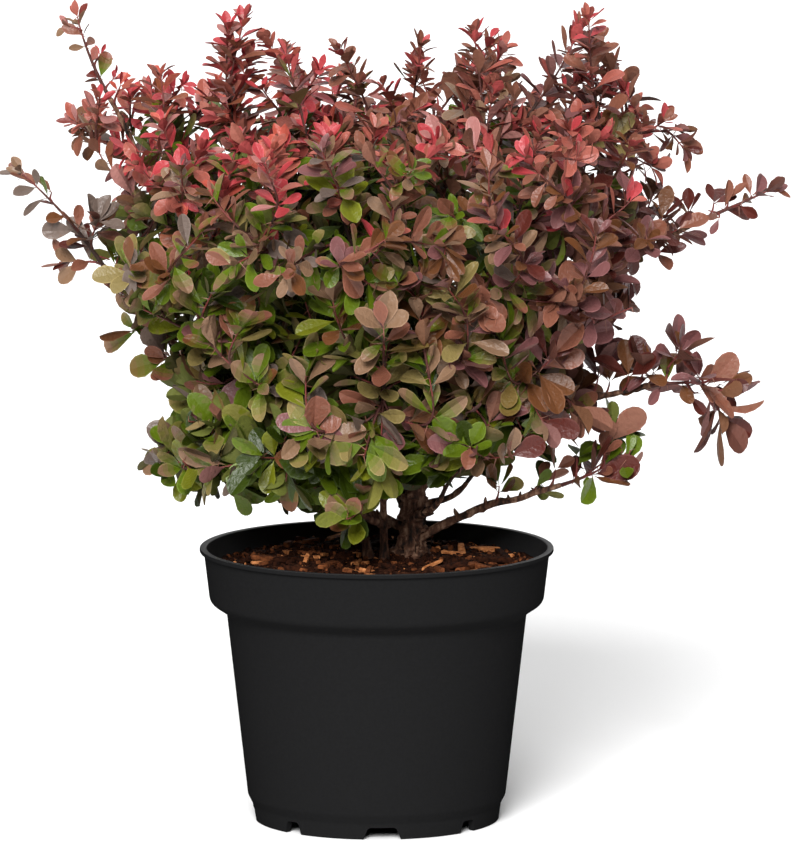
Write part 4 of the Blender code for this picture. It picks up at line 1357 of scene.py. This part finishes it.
def make_mulch(materials, rng):
    """Bark chips, splinters and crumbs lying on the soil."""
    parts = MeshParts()
    edge = inner_radius(SOIL_EDGE_HEIGHT) - 0.003
    for number in range(CHIP_COUNT + FIBRE_COUNT):
        radius = edge * math.sqrt(rng.random())
        angle = rng.uniform(0.0, 2.0 * math.pi)
        x, y = radius * math.cos(angle), radius * math.sin(angle)
        chip = number < CHIP_COUNT
        length = rng.uniform(*(CHIP_LENGTHS if chip else FIBRE_LENGTHS))
        if radius + length / 2.0 > edge:
            continue
        width = length * (rng.uniform(0.12, 0.28) if chip else rng.uniform(0.15, 0.60))
        height = min(width * rng.uniform(0.5, 0.9), 0.0026)
        choices = ((0, 0.30), (1, 0.30), (2, 0.40)) if chip else ((0, 0.70), (1, 0.26), (2, 0.04))
        place = Vector((x, y, soil_surface(x, y) + height * (0.7 if chip else 0.35)))
        lean = rng.gauss(0.0, 0.14 if chip else 0.45)
        add_chip(parts, place, length, width, height, rng.uniform(0.0, math.pi), lean, pick(rng, choices), rng)
    return parts.make("bark_mulch", materials, 35.0)


RAMP_FOOT = 0.36
RAMP_TOP = 0.66


def plain_material(name, colour, roughness, specular=0.5):
    material = bpy.data.materials.new(name)
    material.use_nodes = True
    shader = material.node_tree.nodes["Principled BSDF"]
    shader.inputs["Base Color"].default_value = (*colour, 1.0)
    shader.inputs["Roughness"].default_value = roughness
    shader.inputs["Specular IOR Level"].default_value = specular
    return material


def patterned_material(name, colours, scale, roughness, bump, specular=0.5, stretch=(1.0, 1.0, 1.0)):
    """A material whose colour and relief both follow layered noise in object space."""
    material = plain_material(name, colours[0], roughness, specular)
    tree = material.node_tree
    shader = tree.nodes["Principled BSDF"]
    place = tree.nodes.new("ShaderNodeTexCoord")
    mapping = tree.nodes.new("ShaderNodeMapping")
    mapping.inputs["Scale"].default_value = stretch
    grain = tree.nodes.new("ShaderNodeTexNoise")
    grain.inputs["Scale"].default_value = scale
    grain.inputs["Detail"].default_value = 5.0
    grain.inputs["Roughness"].default_value = 0.6
    ramp = tree.nodes.new("ShaderNodeValToRGB")
    elements = ramp.color_ramp.elements
    elements[0].position = RAMP_FOOT
    elements[0].color = (*colours[0], 1.0)
    elements[1].position = RAMP_TOP
    elements[1].color = (*colours[-1], 1.0)
    for number, colour in enumerate(colours[1:-1], start=1):
        middle = elements.new(RAMP_FOOT + (RAMP_TOP - RAMP_FOOT) * number / (len(colours) - 1))
        middle.color = (*colour, 1.0)
    relief = tree.nodes.new("ShaderNodeBump")
    relief.inputs["Strength"].default_value = bump
    relief.inputs["Distance"].default_value = 0.0005
    links = tree.links
    links.new(place.outputs["Object"], mapping.inputs["Vector"])
    links.new(mapping.outputs["Vector"], grain.inputs["Vector"])
    links.new(grain.outputs["Fac"], ramp.inputs["Fac"])
    links.new(ramp.outputs["Color"], shader.inputs["Base Color"])
    links.new(grain.outputs["Fac"], relief.inputs["Height"])
    links.new(relief.outputs["Normal"], shader.inputs["Normal"])
    return material


def relief_material(name, colour, roughness, specular, scale, bump):
    """A plain colour whose sheen is broken by fine swellings."""
    material = plain_material(name, colour, roughness, specular)
    tree = material.node_tree
    place = tree.nodes.new("ShaderNodeTexCoord")
    swellings = tree.nodes.new("ShaderNodeTexNoise")
    swellings.inputs["Scale"].default_value = scale
    swellings.inputs["Detail"].default_value = 3.0
    relief = tree.nodes.new("ShaderNodeBump")
    relief.inputs["Strength"].default_value = bump
    relief.inputs["Distance"].default_value = 0.0008
    tree.links.new(place.outputs["Object"], swellings.inputs["Vector"])
    tree.links.new(swellings.outputs["Fac"], relief.inputs["Height"])
    tree.links.new(relief.outputs["Normal"], tree.nodes["Principled BSDF"].inputs["Normal"])
    return material


def part_colours(blade):
    """The blade's colour, its paler rim's and its dull underside's; the rim's paleness is partly the margin's own tone
    and partly painted sheen.
    """
    rim = tuple(RIM_GAIN * value + RIM_LIFT for value in blade)
    under = tuple(0.82 * value + 0.18 * pale for value, pale in zip(blade, PALE_UNDERSIDE))
    return blade, rim, under


def make_leaf_materials():
    materials = []
    for name, blade in TINTS.items():
        for part, colour in zip(TINT_PARTS, part_colours(blade)):
            roughness = 0.65 if part == "under" else LEAF_ROUGHNESS
            materials.append(relief_material(f"leaf_{name}_{part}", colour, roughness, LEAF_SPECULAR,
                                             420.0, 0.80))
    return materials


# Each lamp's strength and, in degrees, how wide it is, how far it leans from overhead and its turn
LAMPS = (
    ("key", 5.75, 26.0, 60.0, -8.0),
    ("overhead", 1.7, 60.0, 16.0, -30.0),
    ("behind", 1.0, 70.0, 48.0, 160.0),
)


def make_stage():
    bpy.ops.mesh.primitive_plane_add(size=120.0, location=(0.0, 0.0, 0.0))
    floor = bpy.context.object
    floor.name = "floor"
    floor.data.materials.append(plain_material("floor", (0.90, 0.90, 0.90), 0.9, 0.1))
    world = bpy.data.worlds.new("studio")
    world.use_nodes = True
    background = world.node_tree.nodes["Background"]
    background.inputs["Color"].default_value = (1.0, 1.0, 1.0, 1.0)
    background.inputs["Strength"].default_value = 0.015
    bpy.context.scene.world = world
    bpy.context.scene.view_settings.view_transform = "Standard"
    for name, energy, spread, tilt, turn in LAMPS:
        light = bpy.data.lights.new(name, "SUN")
        light.energy = energy
        light.angle = math.radians(spread)
        lamp = bpy.data.objects.new(name, light)
        lamp.rotation_euler = (math.radians(tilt), 0.0, math.radians(turn))
        bpy.context.scene.collection.objects.link(lamp)


def make_camera():
    aim = Vector((POT_AXIS.x + AIM_ASIDE, POT_AXIS.y, AIM_HEIGHT))
    away = Vector((0.0, -math.cos(CAMERA_ELEVATION), math.sin(CAMERA_ELEVATION)))
    data = bpy.data.cameras.new("camera")
    data.lens = CAMERA_LENS
    camera = bpy.data.objects.new("camera", data)
    camera.location = aim + away * CAMERA_DISTANCE
    camera.rotation_euler = (-away).to_track_quat("-Z", "Y").to_euler()
    bpy.context.scene.collection.objects.link(camera)
    bpy.context.scene.camera = camera


def finish_piece(item, slot, *nodes):
    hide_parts(*nodes)
    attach(item, "root")


def limb_points(limbs):
    """The middle lines of the trunk and limbs, to be searched for the nearest point."""
    points = [point for limb in limbs for point in limb.path[:-2]] + trunk_path(TRUNK_RINGS)
    tree = KDTree(len(points))
    for number, point in enumerate(points):
        tree.insert(point, number)
    tree.balance()
    return tree


def make_foliage(masses, limbs, leaf_materials, twig_materials, spine_material):
    """All the shoots with their leaves and spines: the twigs as one piece, the spines as one piece and the leaves as
    one piece for each group.
    """
    near = limb_points(limbs)
    shoots = []
    for seed, mass in enumerate(masses, start=1):
        shoots += grow_mass(mass, masses, random.Random(seed))
    shoots += grow_leaders(shoots, random.Random(101))
    for limb in limbs:
        if limb.name in SIDE_SHOOT_RULES:
            shoots += grow_side_shoots(limb, random.Random(limb.name))
    groups = {}
    rng = random.Random(10)
    spines = MeshParts()
    twigs = MeshParts()
    for shoot in shoots:
        shoot.warmth = rng.gauss(0.0, 0.13)
        leaves = groups.setdefault(shoot.mass.group, [])
        dress_shoot(shoot, leaves, spines, near, rng)
        add_twig(twigs, shoot, rng)
    names = [mass.name for mass in masses]
    twig_piece = twigs.make("twigs", twig_materials)
    finish_piece(twig_piece, "bark", *names)
    spine_piece = spines.make("spines", [spine_material], 30.0)
    finish_piece(spine_piece, "bark", *names)
    for group, leaves in groups.items():
        parts = MeshParts()
        for leaf in leaves:
            parts.add(leaf.points(), LEAF_FACES, leaf.slots())
        piece = parts.make(f"leaves_{group}", leaf_materials, LEAF_CREASE)
        finish_piece(piece, "foliage", *[mass.name for mass in masses if mass.group == group])


def main():
    pot_materials = [
        patterned_material("pot_plastic", ((0.0083, 0.0083, 0.0085), (0.0096, 0.0096, 0.0099)),
                           700.0, 0.50, 0.08, 0.0),
        # Lighter plastic for the inner wall and the upward faces: painted light on the wall and a painted highlight on
        # the tops
        patterned_material("pot_inside", ((0.020, 0.020, 0.021), (0.024, 0.024, 0.025)),
                           700.0, 0.42, 0.08, 0.20),
    ]
    soil_material = patterned_material("potting_soil", ((0.004, 0.0015, 0.001), (0.020, 0.007, 0.004),
                                                        (0.070, 0.026, 0.012)), 260.0, 0.95, 0.9, 0.05)
    bark_material = patterned_material("bark", ((0.007, 0.003, 0.0015), (0.083, 0.034, 0.018),
                                                (0.255, 0.150, 0.096)), 300.0, 0.85, 1.0, 0.3,
                                       (1.0, 1.0, 0.30))
    chips = [
        patterned_material("chip_dark", ((0.005, 0.0015, 0.0008), (0.034, 0.010, 0.004)), 400.0, 0.9, 0.8, 0.08),
        patterned_material("chip_brown", ((0.045, 0.012, 0.004), (0.190, 0.060, 0.020)), 400.0, 0.85, 0.8, 0.1),
        patterned_material("chip_orange", ((0.200, 0.062, 0.018), (0.620, 0.250, 0.092)), 400.0, 0.8, 0.7, 0.1),
    ]
    twig_materials = [
        relief_material("twig_brown", (0.030, 0.014, 0.010), 0.75, 0.25, 1100.0, 1.0),
        relief_material("twig_red_brown", (0.060, 0.017, 0.013), 0.65, 0.25, 1100.0, 0.90),
        relief_material("twig_red", (0.130, 0.024, 0.020), 0.55, 0.30, 1100.0, 0.60),
    ]
    spine_material = relief_material("spine", (0.180, 0.070, 0.045), 0.5, 0.4, 1100.0, 0.50)
    masses = plan_masses()
    limbs = plan_limbs(masses)
    pot = make_pot(pot_materials)
    finish_piece(pot, "pot", "pot")
    soil = make_soil(soil_material)
    finish_piece(soil, "soil", "soil")
    mulch = make_mulch(chips, random.Random(5))
    finish_piece(mulch, "soil", "soil")
    bark = make_bark(limbs, bark_material)
    finish_piece(bark, "bark", "trunk", *[limb.name for limb in limbs])
    make_foliage(masses, limbs, make_leaf_materials(), twig_materials, spine_material)
    make_stage()
    make_camera()


main()
